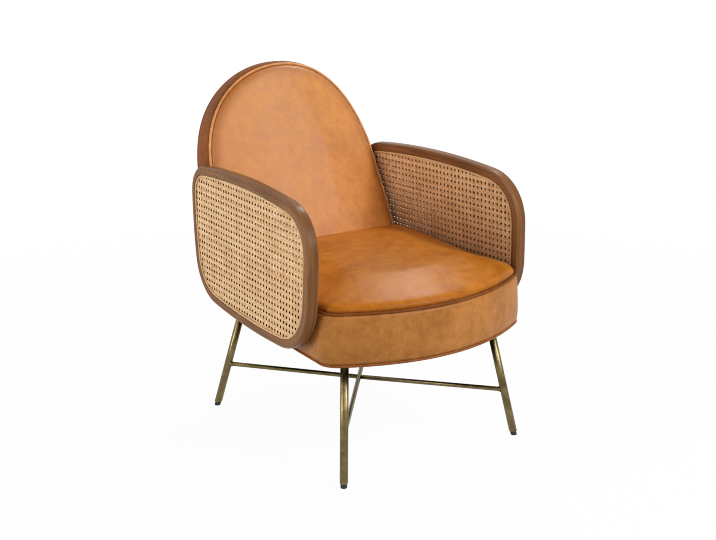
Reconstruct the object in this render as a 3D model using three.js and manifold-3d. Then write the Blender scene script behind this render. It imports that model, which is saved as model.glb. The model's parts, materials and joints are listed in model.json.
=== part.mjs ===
// Upholstered lounge chair with two bent-wood arm frames, each filled with two sheets of woven
// cane, a crowned seat and a round-topped back with piped edges, on a splayed base of brass tube.
// Millimetres. The chair faces -Y and +Z is up. The base is laid out about the middle of its four
// feet, and the whole chair is then centred over its own footprint.
import * as THREE from "three";
import { mergeVertices } from "three/addons/utils/BufferGeometryUtils.js";
import Module from "manifold-3d";

const wasm = await Module();
wasm.setup();

// Fits and counts shared by the whole chair
const fit = 0.3; // left between two pieces that touch
const overrun = 5; // by which a cutting tool passes the face that it cuts
const roundSides = 16; // sides of a tube, rod or foot
const smallSides = 6; // sides of a screw, stud or cord
const pipingRadius = 3;

// Legs, feet and cross rods
const footHalfWidth = 236; // foot centre from the chair's middle plane
const footHalfDepth = 280; // foot centre in front of or behind the middle of the base
const frontLegTopHalfWidth = 196;
const rearLegTopHalfWidth = 175;
const frontLegSetback = 29; // leg's top behind the point where the seat's sides meet its front
const rearLegSetback = 34; // leg's top in front of the foot of the back's rear face
const legRadius = 8.9;
const legWall = 1.5;
const legEndPlate = 4; // closes the foot of the tube
const glideHeight = 9; // shows below the tube
const glideRadius = 7.2;
const glideEdge = 1.5; // rounding at the floor
const glideStemRadius = 3;
const glideStemLength = 16;
const crossRodHeight = 109;
const crossRodRadius = 5.2;
const weldRadius = 8;
const weldLength = 9;
const weldOverlap = 3; // by which a cross rod starts inside the leg, before it is cut to it

// Steel plates on the legs, and their screws
const plateSide = 44;
const plateCorner = 6;
const plateCornerSteps = 3;
const plateThickness = 3;
const screwSpread = 13.5; // screw from the leg's centre, along X and along Y
const screwRadius = 2;
const screwLength = 14;
const screwHeadRadius = 4.2;
const screwHeadHeight = 2.2;

// Seat
const seatBottom = 273; // underside of the seat board
const boardThickness = 10;
const dustCoverThickness = 1;
const seatEdgeHeight = 381; // centre of the piping round the seat's top edge
const seatFrontReach = 259; // where the sides would meet the front without its bow
const seatFrontBow = 86;
const seatCorner = 24; // length of side that a front corner takes up
const rearCorner = 18;
const seatToArm = 7.5; // seat side to the arm frame's inner face
const bandThickness = 6;
const bandBulge = 2;
const seatCrown = 47; // rise of the cushion above its piping
const seatCrownReach = 60; // by which the crown runs on under the back
const cushionLip = 1.5; // height of the cushion's edge above its piping
const domeShares = [0.95, 0.88, 0.76, 0.58, 0.34];
const seamDepth = 205; // foot of the seam between the seat's boxing and the back's

// Back
const backToArm = 2.3; // side of the back to the inner face of the arm at its rear end
const backArchHeight = 261; // rise of the round top
const backArchBase = 552; // height where the sides start to turn in
const backArchPower = 2.1; // 2 is an ellipse, more is squarer
const archSteps = 12; // of each half of the round top
const backSideSteps = 3; // between the foot of the front edge and the round top
const backPipingSteps = 36;
const frontShares = [0.93, 0.82, 0.64, 0.42, 0.18, -0.18, -0.42, -0.64, -0.82, -0.93];
const flatShares = [0.5, 0, -0.5];
const backEdgeFoot = 188; // depth of the front edge where it meets the seat
const backEdgeFootHeight = 403;
const backEdgeTop = 334; // depth of the front edge at the top
const backEdgeFootSlope = 0.4;
const backEdgeTopSlope = -0.05;
const backRearFoot = 264.8; // depth of the rear face at the seat's bottom
const backRearSlope = 0.25;
const backRearTurn = 660; // height where the rear face starts to stand up
const backRearTurnRise = 100; // further rise that brings it upright
const backCrown = 30; // by which the front stands proud of its edge
const backBandThickness = 3;
const backBandBulge = 1.5;
const rearPipingRadius = 2.6;
const backPlyThickness = 15;
const backPlyInset = 9;
const backPanelThickness = 4;
const backPanelDome = 2;
const panelOverhang = 1; // by which the panel's thickness reaches in past its edge
const backLayerGap = 0.6; // between the layers of the back, which are curved
const backBoltSpread = 120;
const backBoltRadius = 3;
const backBoltHeadRadius = 6.5;
const backBoltHeadHeight = 4;
const backBoltLength = 45;

// Arm frames, each laid out flat in its own plane: along is towards the rear, up is up
const armPlaneHalfWidth = 263.8; // arm's middle plane, at armPlaneHeight
const armPlaneHeight = 470.4;
const armToeOut = 0.0501; // radians by which the arms open towards the front
const armLeanIn = 0.0369; // radians by which their tops lean towards each other
const armThickness = 27;
const armFaceWidth = 20; // width of wood outside the cane
const armEdgeRound = 6;
const panelTopRear = [299, 578]; // corners of the cane before rounding
const panelTopFront = [-226, 569];
const panelBottomFront = [-216, 306];
const panelBottomRear = [263, 317];
const panelBows = [18, 3, 14, 10]; // bow of the top, front, bottom and rear
const panelCorners = [43, 83, 95, 70]; // side taken up by each corner, in the order above
const rebateWidth = 5.2;
const rebateDepth = 3.4;
const caneThickness = 1.2;
const caneEdgeGap = 0.4;
const splineCrown = 0.5;
const canePitch = 50;
const caneHole = 30;
const caneMargin = 7; // unbroken cane inside the spline
const studPlaces = [-95, 95]; // along the bottom of the arm
const studRadius = 3;
const studIntoArm = 17;
const studIntoSeat = 30;
const spacerRadius = 9;
const spacerThickness = 5.6;

const cornerFullnessShare = 0.62; // how far a corner's curve leans into its corner
const crownPower = 3.2;
const crownShoulder = 0.5;

// Finishes
const finishes = {
  leather: { color: 0xb5703c, roughness: 0.5, metalness: 0 },
  piping: { color: 0xa9642f, roughness: 0.5, metalness: 0 },
  brass: { color: 0x86774a, roughness: 0.3, metalness: 1 },
  rubber: { color: 0x161616, roughness: 0.8, metalness: 0 },
  steel: { color: 0x9a9a98, roughness: 0.4, metalness: 1 },
  walnut: { color: 0x6b4a33, roughness: 0.45, metalness: 0 },
  cane: { color: 0xd4b07e, roughness: 0.6, metalness: 0 },
  spline: { color: 0xdcc196, roughness: 0.55, metalness: 0 },
  plywood: { color: 0xc9a878, roughness: 0.7, metalness: 0 },
  padding: { color: 0xe6e0d4, roughness: 0.95, metalness: 0 },
  lining: { color: 0x1d1d1f, roughness: 0.95, metalness: 0 },
};

const chair = new THREE.Group();

function addPiece(name, geometry, finish, parent = chair) {
  const mesh = new THREE.Mesh(geometry, new THREE.MeshStandardMaterial(finishes[finish]));
  mesh.name = name;
  parent.add(mesh);
  return mesh;
}

// Heights and depths that several pieces share
const boardTop = seatBottom + boardThickness;
const coreTop = seatEdgeHeight - pipingRadius - fit - fit;
const bottomPipingHeight = seatBottom - pipingRadius - fit;
const dustCoverBottom = seatBottom - fit - dustCoverThickness;
const plateTop = dustCoverBottom - fit;
const plateBottom = plateTop - plateThickness;
const legTop = plateBottom - fit;
const legBottom = glideHeight + fit;
const backTop = backArchBase + backArchHeight;
const backBoltHeight = (boardTop + coreTop) / 2;
const frontLegTopDepth = frontLegSetback - seatFrontReach;
const rearLegTopDepth = backRearFoot - rearLegSetback;
const besidePiping = 2 * pipingRadius + 2 * fit; // edge of a cushion to its piping's outer side

// Closed surfaces

// A closed mesh as a solid that can be joined and cut.
function toSolid(geometry) {
  const bare = new THREE.BufferGeometry();
  bare.setAttribute("position", geometry.getAttribute("position"));
  bare.setIndex(geometry.getIndex());
  const merged = mergeVertices(bare);
  return new wasm.Manifold(
    new wasm.Mesh({
      numProp: 3,
      vertProperties: new Float32Array(merged.getAttribute("position").array),
      triVerts: new Uint32Array(merged.getIndex().array),
    }),
  );
}

function toGeometry(solid) {
  const mesh = solid.getMesh();
  const geometry = new THREE.BufferGeometry();
  geometry.setAttribute("position", new THREE.BufferAttribute(mesh.vertProperties, mesh.numProp));
  geometry.setIndex(new THREE.BufferAttribute(mesh.triVerts, 1));
  geometry.computeVertexNormals();
  return geometry;
}

function cut(geometry, tools) {
  return toGeometry(tools.reduce((solid, tool) => solid.subtract(toSolid(tool)), toSolid(geometry)));
}

function joined(geometries) {
  const [first, ...others] = geometries.map(toSolid);
  return toGeometry(others.reduce((solid, other) => solid.add(other), first));
}

function signedVolume(corners) {
  let volume = 0;
  for (let i = 0; i < corners.length; i += 3) {
    volume += corners[i].dot(new THREE.Vector3().crossVectors(corners[i + 1], corners[i + 2]));
  }
  return volume;
}

// The closed surface through a row of rings, each a list of points. A ring of one point is a tip.
// With loop set, the last ring is joined to the first; otherwise both ends are capped.
function skin(rings, { loop = false } = {}) {
  const row = [...rings];
  if (loop) {
    row.push(rings[0]);
  } else {
    for (const end of [0, rings.length]) {
      const ring = rings[Math.min(end, rings.length - 1)];
      if (ring.length > 1) {
        const middle = ring.reduce((sum, p) => sum.add(p), new THREE.Vector3());
        row.splice(end ? row.length : 0, 0, [middle.divideScalar(ring.length)]);
      }
    }
  }
  const corners = [];
  const face = (a, b, c) => {
    if (!a.equals(b) && !b.equals(c) && !c.equals(a)) {
      corners.push(a, b, c);
    }
  };
  for (let i = 0; i + 1 < row.length; i += 1) {
    const lower = row[i];
    const upper = row[i + 1];
    const count = Math.max(lower.length, upper.length);
    const at = (ring, k) => ring[k % ring.length];
    for (let k = 0; k < count; k += 1) {
      face(at(lower, k), at(lower, k + 1), at(upper, k + 1));
      face(at(lower, k), at(upper, k + 1), at(upper, k));
    }
  }
  if (signedVolume(corners) < 0) {
    corners.reverse();
  }
  const geometry = new THREE.BufferGeometry().setFromPoints(corners);
  geometry.computeVertexNormals();
  return geometry;
}

// A tube of round section along a curve.
function cord(curve, radius, steps) {
  const section = new THREE.Shape();
  for (let i = 0; i < smallSides; i += 1) {
    const turn = (i / smallSides) * 2 * Math.PI;
    const point = [radius * Math.cos(turn), radius * Math.sin(turn)];
    if (i === 0) {
      section.moveTo(...point);
    } else {
      section.lineTo(...point);
    }
  }
  section.closePath();
  return new THREE.ExtrudeGeometry(section, { steps, extrudePath: curve });
}

// A turned piece between two points, from a profile of [radius, distance along] pairs.
function turned(profile, from, to, sides) {
  const points = profile.map(([radius, along]) => new THREE.Vector2(radius, along));
  const geometry = new THREE.LatheGeometry(points, sides);
  const axis = new THREE.Vector3().subVectors(to, from).normalize();
  const turn = new THREE.Quaternion().setFromUnitVectors(new THREE.Vector3(0, 1, 0), axis);
  geometry.applyQuaternion(turn);
  geometry.translate(from.x, from.y, from.z);
  return geometry;
}

function rod(from, to, radius, sides = roundSides) {
  const length = from.distanceTo(to);
  return turned([[0, 0], [radius, 0], [radius, length], [0, length]], from, to, sides);
}

// Flat outlines

// A closed outline of four bowed sides and four soft corners, as points. counts gives the steps
// of each side, then the steps of each corner.
function bowedOutline(corners, bows, cornerLengths, counts) {
  const places = corners.map(([x, y]) => new THREE.Vector2(x, y));
  const middle = places.reduce((sum, p) => sum.clone().add(p)).divideScalar(places.length);
  const sides = places.map((start, i) => {
    const end = places[(i + 1) % places.length];
    const length = start.distanceTo(end);
    const outward = new THREE.Vector2().subVectors(end, start).normalize();
    outward.set(outward.y, -outward.x);
    const centre = start.clone().add(end).divideScalar(2);
    if (outward.dot(centre.clone().sub(middle)) < 0) {
      outward.negate();
    }
    const control = centre.addScaledVector(outward, 2 * bows[i]);
    const curve = new THREE.QuadraticBezierCurve(start, control, end);
    const next = (i + 1) % places.length;
    return { curve, from: cornerLengths[i] / length, to: 1 - cornerLengths[next] / length };
  });
  const points = [];
  sides.forEach((side, i) => {
    const next = (i + 1) % sides.length;
    const [sideSteps, cornerSteps] = counts[i];
    for (let k = 0; k < sideSteps; k += 1) {
      points.push(side.curve.getPoint(THREE.MathUtils.lerp(side.from, side.to, k / sideSteps)));
    }
    const start = side.curve.getPoint(side.to);
    if (cornerSteps === 0) {
      return;
    }
    const end = sides[next].curve.getPoint(sides[next].from);
    const reach = cornerLengths[next] * cornerFullnessShare;
    const corner = new THREE.CubicBezierCurve(
      start,
      start.clone().addScaledVector(side.curve.getTangent(side.to), reach),
      end.clone().addScaledVector(sides[next].curve.getTangent(sides[next].from), -reach),
      end,
    );
    for (let k = 0; k < cornerSteps; k += 1) {
      points.push(corner.getPoint(k / cornerSteps));
    }
  });
  return points;
}

// The unit outward normals of a closed outline.
function outwardNormals(points) {
  const turn = THREE.ShapeUtils.area(points) > 0 ? 1 : -1;
  return points.map((p, i) => {
    const before = points[(i + points.length - 1) % points.length];
    const after = points[(i + 1) % points.length];
    const along = new THREE.Vector2().subVectors(after, before).normalize();
    return new THREE.Vector2(along.y * turn, -along.x * turn);
  });
}

function grown(points, distance) {
  const normals = outwardNormals(points);
  return points.map((p, i) => p.clone().addScaledVector(normals[i], distance));
}

function atHeight(points, height) {
  return points.map((p) => new THREE.Vector3(p.x, p.y, height));
}

// Where things stand

// The inner face of the arm at +X: its distance from the middle plane.
function armInnerFace(depth, height) {
  const normal = new THREE.Vector3(1, 0, 0).applyEuler(new THREE.Euler(0, -armLeanIn, armToeOut, "ZYX"));
  const away = armThickness / 2 + normal.y * depth + normal.z * (height - armPlaneHeight);
  return armPlaneHalfWidth - away / normal.x;
}

function seatSide(depth, height) {
  return armInnerFace(depth, height) - seatToArm;
}

const backHalfWidth = armInnerFace(panelTopRear[0], backArchBase) - backToArm;

// Depth of the back's front edge, and of its rear face, at a height.
function backEdge(height) {
  const rise = height - backEdgeFootHeight;
  if (rise < 0) {
    return backEdgeFoot + backEdgeFootSlope * rise;
  }
  const span = backTop - backEdgeFootHeight;
  const t = rise / span;
  const foot = backEdgeFoot * (1 + 2 * t) + backEdgeFootSlope * span * t;
  const top = backEdgeTop * (3 - 2 * t) + backEdgeTopSlope * span * (t - 1);
  return foot * (1 - t) ** 2 + top * t ** 2;
}

function backRear(height) {
  const past = Math.max(0, height - backRearTurn);
  const straight = backRearFoot + backRearSlope * (height - seatBottom);
  return straight - (backRearSlope / (2 * backRearTurnRise)) * past ** 2;
}

// Depths of the plywood in the back.
function plyRear(height) {
  return backRear(height) - backPanelThickness - backLayerGap - panelOverhang;
}

function plyFront(height) {
  return plyRear(height) - backPlyThickness;
}

// The seam between the seat's boxing and the back's, below the seat's top edge.
function seam(height) {
  const t = (height - seatBottom) / (seatEdgeHeight - seatBottom);
  return THREE.MathUtils.lerp(seamDepth, backEdge(seatEdgeHeight) + pipingRadius + fit, t);
}

function backHalf(height) {
  const splay = (seatSide(seamDepth, seatBottom) - backHalfWidth) / (backArchBase - seatBottom);
  return backHalfWidth + splay * Math.max(0, backArchBase - height);
}

// The crown of a cushion: 0 at its edge, where share is 1, and 1 in its middle.
function crown(share) {
  return (1 - Math.min(1, Math.abs(share)) ** crownPower) ** crownShoulder;
}

// Depth of the back cushion's front face, share of the half width out from the middle.
function backFace(share, height) {
  const up = Math.max(0, (height - backArchBase) / backArchHeight);
  return backEdge(height) - backCrown * crown(share) * crown(up);
}

// Base

const frontAndRear = [
  { end: "front", depth: -footHalfDepth, topHalfWidth: frontLegTopHalfWidth, topDepth: frontLegTopDepth },
  { end: "rear", depth: footHalfDepth, topHalfWidth: rearLegTopHalfWidth, topDepth: rearLegTopDepth },
];
const leftAndRight = [
  { side: "right", sign: -1 },
  { side: "left", sign: 1 },
];
const legPlaces = frontAndRear.flatMap(({ end, depth, topHalfWidth, topDepth }) =>
  leftAndRight.map(({ side, sign }) => ({
    name: `${end}_${side}`,
    foot: new THREE.Vector3(sign * footHalfWidth, depth, 0),
    top: new THREE.Vector3(sign * topHalfWidth, topDepth, seatBottom),
  })),
);

// The point of a leg's axis at a height.
function legPoint(leg, height) {
  return leg.foot.clone().lerp(leg.top, height / leg.top.z);
}

// A round bar on a leg's axis whose two ends are cut level, at two heights.
function levelEndedBar(leg, low, high, radius, sides = roundSides) {
  const bar = rod(legPoint(leg, low), legPoint(leg, high), radius, sides);
  const axis = leg.top.clone().sub(leg.foot).normalize();
  const middle = (low + high) / 2;
  const position = bar.getAttribute("position");
  for (let i = 0; i < position.count; i += 1) {
    const point = new THREE.Vector3().fromBufferAttribute(position, i);
    const level = point.clone().sub(legPoint(leg, middle)).dot(axis) < 0 ? low : high;
    point.addScaledVector(axis, (level - point.z) / axis.z);
    position.setXYZ(i, point.x, point.y, point.z);
  }
  return bar;
}

function makeLeg(leg) {
  const tube = levelEndedBar(leg, legBottom, legTop, legRadius);
  const bore = levelEndedBar(leg, legBottom + legEndPlate, legTop + overrun, legRadius - legWall);
  const stemHole = levelEndedBar(
    leg,
    legBottom - overrun,
    legBottom + legEndPlate + overrun,
    glideStemRadius + fit,
    smallSides,
  );
  addPiece(`leg_${leg.name}`, cut(tube, [bore, stemHole]), "brass");
}

function makeGlide(leg) {
  const below = legPoint(leg, 0);
  const seat = legPoint(leg, glideHeight);
  const ring = (centre, radius, height, count = roundSides) =>
    Array.from({ length: count }, (_, i) => {
      const turn = (i / count) * 2 * Math.PI;
      return new THREE.Vector3(
        centre.x + radius * Math.cos(turn),
        centre.y + radius * Math.sin(turn),
        height,
      );
    });
  const tread = glideRadius - glideEdge;
  const foot = skin([
    ring(below, tread, 0),
    ring(legPoint(leg, glideEdge), glideRadius, glideEdge),
    ring(seat, glideRadius, glideHeight),
  ]);
  const stemTop = glideHeight + glideStemLength;
  const stem = levelEndedBar(leg, glideEdge, stemTop, glideStemRadius, smallSides);
  addPiece(`glide_${leg.name}`, joined([foot, stem]), "rubber");
}

function makePlate(leg) {
  const half = plateSide / 2;
  const straight = half - plateCorner;
  const outline = new THREE.Shape();
  outline.absarc(straight, straight, plateCorner, 0, Math.PI / 2);
  outline.absarc(-straight, straight, plateCorner, Math.PI / 2, Math.PI);
  outline.absarc(-straight, -straight, plateCorner, Math.PI, 1.5 * Math.PI);
  outline.absarc(straight, -straight, plateCorner, 1.5 * Math.PI, 2 * Math.PI);
  outline.closePath();
  for (const sign of [-1, 1]) {
    outline.holes.push(roundHole(sign * screwSpread, sign * screwSpread, screwRadius + fit));
  }
  const plate = new THREE.ExtrudeGeometry(outline, {
    depth: plateThickness,
    bevelEnabled: false,
    curveSegments: plateCornerSteps,
  });
  const top = legPoint(leg, plateBottom);
  plate.translate(top.x, top.y, plateBottom);
  addPiece(`mounting_plate_${leg.name}`, plate, "steel");
}

function roundHole(x, y, radius) {
  const hole = new THREE.Path();
  for (let i = 0; i <= smallSides; i += 1) {
    const turn = (-i / smallSides) * 2 * Math.PI;
    const point = [x + radius * Math.cos(turn), y + radius * Math.sin(turn)];
    if (i === 0) {
      hole.moveTo(...point);
    } else {
      hole.lineTo(...point);
    }
  }
  return hole;
}

const screwPlaces = legPlaces.flatMap((leg) => {
  const top = legPoint(leg, plateBottom);
  return [-1, 1].map((sign) => new THREE.Vector2(top.x + sign * screwSpread, top.y + sign * screwSpread));
});

function makeScrews() {
  const headTop = plateBottom - fit;
  const profile = [
    [0, 0],
    [screwHeadRadius, screwHeadHeight / 2],
    [screwHeadRadius, screwHeadHeight],
    [screwRadius, screwHeadHeight],
    [screwRadius, screwHeadHeight + screwLength],
    [0, screwHeadHeight + screwLength],
  ];
  screwPlaces.forEach(({ x, y }, i) => {
    const from = new THREE.Vector3(x, y, headTop - screwHeadHeight);
    const to = new THREE.Vector3(x, y, headTop);
    addPiece(`plate_screw_${i + 1}`, turned(profile, from, to, smallSides), "steel");
  });
}

// A cross rod between two points, flared where it is welded to a leg.
function weldedRod(from, to, weldedEnds) {
  const length = from.distanceTo(to);
  const flare = [
    [weldRadius, 0],
    [(weldRadius + crossRodRadius) / 2, weldOverlap],
    [crossRodRadius, weldLength],
  ];
  const start = weldedEnds.start ? flare : [[crossRodRadius, 0]];
  const end = weldedEnds.end ? flare : [[crossRodRadius, 0]];
  const back = [...end].reverse().map(([radius, along]) => [radius, length - along]);
  return turned([[0, 0], ...start, ...back, [0, length]], from, to, roundSides);
}

function makeCrossRods() {
  const place = (name) => legPlaces.find((leg) => leg.name === name);
  const toolAround = (leg) => levelEndedBar(leg, legBottom, legTop, legRadius + fit);
  const joint = (name) => legPoint(place(name), crossRodHeight);
  // The flare starts at the leg's surface, so the rod is laid out between two surface points.
  const surface = (name, towards) => {
    const start = joint(name);
    const direction = joint(towards).sub(start).normalize();
    return start.addScaledVector(direction, legRadius - weldOverlap);
  };
  const fullRod = weldedRod(surface("front_right", "rear_left"), surface("rear_left", "front_right"), {
    start: true,
    end: true,
  });
  const legTools = ["front_right", "rear_left"].map((name) => toolAround(place(name)));
  addPiece("cross_rod_full", cut(fullRod, legTools), "brass");
  const crossing = joint("front_right").lerp(joint("rear_left"), joint("front_right").y
    / (joint("front_right").y - joint("rear_left").y));
  const fullTool = rod(joint("front_right"), joint("rear_left"), crossRodRadius + fit);
  for (const name of ["front_left", "rear_right"]) {
    const towards = name === "front_left" ? "rear_right" : "front_left";
    const half = weldedRod(surface(name, towards), crossing, { start: true, end: false });
    addPiece(`cross_rod_${name}`, cut(half, [toolAround(place(name)), fullTool]), "brass");
  }
}

// Seat

const seatCounts = [
  [5, 3], // rear side, then the corner after it
  [6, 4],
  [12, 4],
  [6, 3],
];

// The seat's footprint at a height, closed at the rear at the given depth.
function seatLoop(height, rearDepth, inset) {
  const side = (depth) => seatSide(depth, height);
  const outline = bowedOutline(
    [
      [side(rearDepth), rearDepth],
      [-side(rearDepth), rearDepth],
      [-side(-seatFrontReach), -seatFrontReach],
      [side(-seatFrontReach), -seatFrontReach],
    ],
    [0, 0, seatFrontBow, 0],
    [rearCorner, rearCorner, seatCorner, seatCorner],
    seatCounts,
  );
  return grown(outline, -inset);
}

// The seat's edge at a height as an open line, from the rear of one side round the front.
function seatEdge(height, rearDepth, inset) {
  const loop = seatLoop(height, rearDepth, inset);
  const first = seatCounts[0][0] + seatCounts[0][1];
  const last = seatCounts.reduce((sum, [side, corner]) => sum + side + corner, 0) - seatCounts[3][1];
  const line = loop.slice(first, last);
  const end = (sign) => new THREE.Vector2(sign * (seatSide(rearDepth, height) - inset), rearDepth);
  return [end(-1), ...line, end(1)];
}

// A flat layer of the seat, with the screw holes through it.
function makeSeatLayer(name, finish, low, thickness, inset) {
  const outline = (height) => atHeight(seatLoop(height, backRear(seatBottom), inset), height);
  const holes = screwPlaces.map(({ x, y }) => {
    const from = new THREE.Vector3(x, y, low - overrun);
    const to = new THREE.Vector3(x, y, low + thickness + overrun);
    return rod(from, to, screwRadius + fit, smallSides);
  });
  addPiece(name, cut(skin([outline(low), outline(low + thickness)]), holes), finish);
}

function makeSeatBox(tools) {
  const ring = (height) => {
    const rear = plyFront(height) - backLayerGap;
    return atHeight(seatLoop(height, rear, bandThickness + fit), height);
  };
  addPiece("seat_box", cut(skin([ring(boardTop + fit), ring(coreTop)]), tools), "padding");
}

function makeSeatBand(tools) {
  const low = seatBottom;
  const high = seatEdgeHeight - pipingRadius - fit;
  const middle = (low + high) / 2;
  const section = [
    [low, 0],
    [middle, -bandBulge],
    [high, 0],
    [high, bandThickness],
    [low, bandThickness],
  ];
  const lines = section.map(([height, inset]) =>
    atHeight(seatEdge(height, seam(height) - fit, inset), height),
  );
  const rings = lines[0].map((_, i) => lines.map((line) => line[i]));
  addPiece("seat_band", cut(skin(rings), tools), "leather");
}

// Piping that lies level along points of an outline, with the outline's outward directions.
function levelPiping(points, normals, height, options) {
  const rings = points.map((p, i) =>
    Array.from({ length: smallSides }, (_, k) => {
      const turn = (k / smallSides) * 2 * Math.PI;
      const out = pipingRadius * Math.cos(turn);
      return new THREE.Vector3(
        p.x + normals[i].x * out,
        p.y + normals[i].y * out,
        height + pipingRadius * Math.sin(turn),
      );
    }),
  );
  return skin(rings, options);
}

function makeSeatPiping() {
  const topRear = backEdge(seatEdgeHeight) - pipingRadius - fit;
  const top = seatEdge(seatEdgeHeight, topRear, pipingRadius);
  const topNormals = outwardNormals(top);
  topNormals[0].set(-1, 0);
  topNormals[top.length - 1].set(1, 0);
  addPiece("seat_piping_top", levelPiping(top, topNormals, seatEdgeHeight), "piping");

  const bottom = seatLoop(bottomPipingHeight, backRear(bottomPipingHeight), pipingRadius);
  const closed = { loop: true };
  const ring = levelPiping(bottom, outwardNormals(bottom), bottomPipingHeight, closed);
  addPiece("seat_piping_bottom", ring, "piping");
}

function makeSeatCushion() {
  const bottom = coreTop + fit;
  const rearDepth = backEdge(seatEdgeHeight) - pipingRadius - fit;
  const edge = seatLoop(seatEdgeHeight, rearDepth, 0);
  // The crown runs on under the back, so each point of the edge has its own reach.
  const crownEdge = seatLoop(seatEdgeHeight, rearDepth + seatCrownReach, 0);
  const centre = new THREE.Vector2(0, (rearDepth - seatFrontReach - seatFrontBow) / 2);
  const ring = (inset, height) => atHeight(grown(edge, -inset), height);
  const dome = (share) =>
    edge.map((point, i) => {
      const reach = point.distanceTo(centre) / crownEdge[i].distanceTo(centre);
      const height = seatEdgeHeight + pipingRadius + seatCrown * crown(share * reach);
      const place = centre.clone().lerp(point, share);
      return new THREE.Vector3(place.x, place.y, height);
    });
  const overPiping = seatEdgeHeight + pipingRadius + cushionLip;
  const cushion = skin([
    ring(besidePiping, bottom),
    ring(besidePiping, seatEdgeHeight),
    ring(pipingRadius + fit, overPiping),
    ...domeShares.map(dome),
  ]);
  addPiece("seat_cushion", cut(cushion, [backCushionShape(fit)]), "leather");
}

// Back

// Stations up the right half of the back's edge, from a height to the middle of the top, each
// with its place and its outward direction in the front view.
function backStations(fromHeight) {
  const sideHeights = Array.from({ length: backSideSteps }, (_, i) =>
    THREE.MathUtils.lerp(backEdgeFootHeight, backArchBase, i / backSideSteps),
  );
  const straightHeights = [seatBottom + bandThickness, coreTop, ...sideHeights];
  const stations = [fromHeight, ...straightHeights.filter((height) => height > fromHeight + overrun)]
    .map((height) => ({ x: backHalf(height), z: height, out: new THREE.Vector2(1, 0) }));
  for (let i = 0; i <= archSteps; i += 1) {
    const turn = (i / archSteps) * (Math.PI / 2);
    const across = Math.cos(turn) ** (2 / backArchPower);
    const up = Math.sin(turn) ** (2 / backArchPower);
    const last = i === archSteps;
    stations.push({
      x: last ? 0 : backHalfWidth * across,
      z: backArchBase + backArchHeight * up,
      out: last
        ? new THREE.Vector2(0, 1)
        : new THREE.Vector2(
            across ** (backArchPower - 1) / backHalfWidth,
            up ** (backArchPower - 1) / backArchHeight,
          ).normalize(),
    });
  }
  return stations;
}

// A point of the back's edge, moved in by inset, at the depth that a function of height gives.
function edgePoint(station, inset, depth, sign = 1) {
  const height = station.z - inset * station.out.y;
  const across = station.out.y === 1 ? 0 : station.x - inset * station.out.x;
  return new THREE.Vector3(sign * Math.max(0, across), depth(height), height);
}

// A layer of the back from its side profile, which lists [inset, depth] from rear to front, and
// from the shapes of its front and rear faces across the chair.
function backLayer(fromHeight, side, front, rear, shares) {
  const rings = backStations(fromHeight).map((station) => {
    const right = side.map(([inset, depth]) => edgePoint(station, inset, depth));
    const left = side.map(([inset, depth]) => edgePoint(station, inset, depth, -1)).reverse();
    const across = (edge, face, order) =>
      order.map((share) => new THREE.Vector3(share * edge.x, face(share, edge.z), edge.z));
    const frontRow = across(right[right.length - 1], front, shares);
    const rearRow = across(right[0], rear, [...shares].reverse());
    return [...right, ...frontRow, ...left, ...rearRow];
  });
  return skin(closedAbove(rings));
}

// The last ring lies in the middle plane, so the surface closes there without a cap.
function closedAbove(rings) {
  const first = rings[0];
  const middle = first.reduce((sum, p) => sum.add(p), new THREE.Vector3()).divideScalar(first.length);
  return [[middle], ...rings, [rings[rings.length - 1][0]]];
}

// The back cushion, or with a clearance the space that it needs.
function backCushionShape(clearance) {
  const inside = backBandThickness + fit - clearance;
  const besideFrontPiping = besidePiping - clearance;
  const rearFace = (height) => plyFront(height) - backLayerGap;
  const side = [
    [inside + pipingRadius, rearFace],
    [inside, (height) => rearFace(height) - pipingRadius],
    [inside, (height) => backEdge(height) + pipingRadius + backLayerGap + fit - clearance],
    [besideFrontPiping, (height) => backEdge(height) + pipingRadius - fit - clearance],
    [besideFrontPiping, (height) => backEdge(height) - pipingRadius - clearance],
  ];
  const front = (share, height) => backFace(share, height) - pipingRadius - clearance;
  const rear = (share, height) => rearFace(height);
  return backLayer(coreTop + fit - overrun * Math.sign(clearance), side, front, rear, frontShares);
}

function makeBackPly(tools) {
  const side = [
    [backPlyInset, plyRear],
    [backPlyInset, plyFront],
  ];
  const shape = backLayer(boardTop + fit, side, (_, z) => plyFront(z), (_, z) => plyRear(z), flatShares);
  addPiece("back_ply", cut(shape, tools), "plywood");
}

function makeBackPanel() {
  const inside = 2 * rearPipingRadius + backLayerGap + fit;
  const frontFace = (height) => backRear(height) - backPanelThickness - panelOverhang + fit;
  const rearEdge = (height) => backRear(height) - rearPipingRadius / 2;
  const side = [
    [inside + backPanelDome, (height) => backRear(height)],
    [inside, rearEdge],
    [inside, frontFace],
  ];
  const dome = (share, height) => backRear(height) + backPanelDome * crown(share);
  const shape = backLayer(seatBottom, side, (_, z) => frontFace(z), dome, flatShares);
  addPiece("back_panel", shape, "leather");
}

// The back's edge from one foot over the top to the other, with the sign of its side.
function wholeBackEdge(fromHeight) {
  const half = backStations(fromHeight).map((station) => ({ station, sign: 1 }));
  const other = half.slice(0, -1).map(({ station }) => ({ station, sign: -1 }));
  return [...half, ...other.reverse()];
}

function makeBackBand() {
  const front = (height) =>
    height < seatEdgeHeight ? seam(height) : backEdge(height) + pipingRadius + fit;
  const rear = (height) => backRear(height) - 2 * rearPipingRadius - fit;
  const middle = (height) => (front(height) + rear(height)) / 2;
  const section = [
    [0, front],
    [-backBandBulge, middle],
    [0, rear],
    [backBandThickness, rear],
    [backBandThickness, front],
  ];
  const rings = wholeBackEdge(seatBottom).map(({ station, sign }) =>
    section.map(([inset, depth]) => edgePoint(station, inset, depth, sign)),
  );
  addPiece("back_band", skin(rings), "leather");
}

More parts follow.
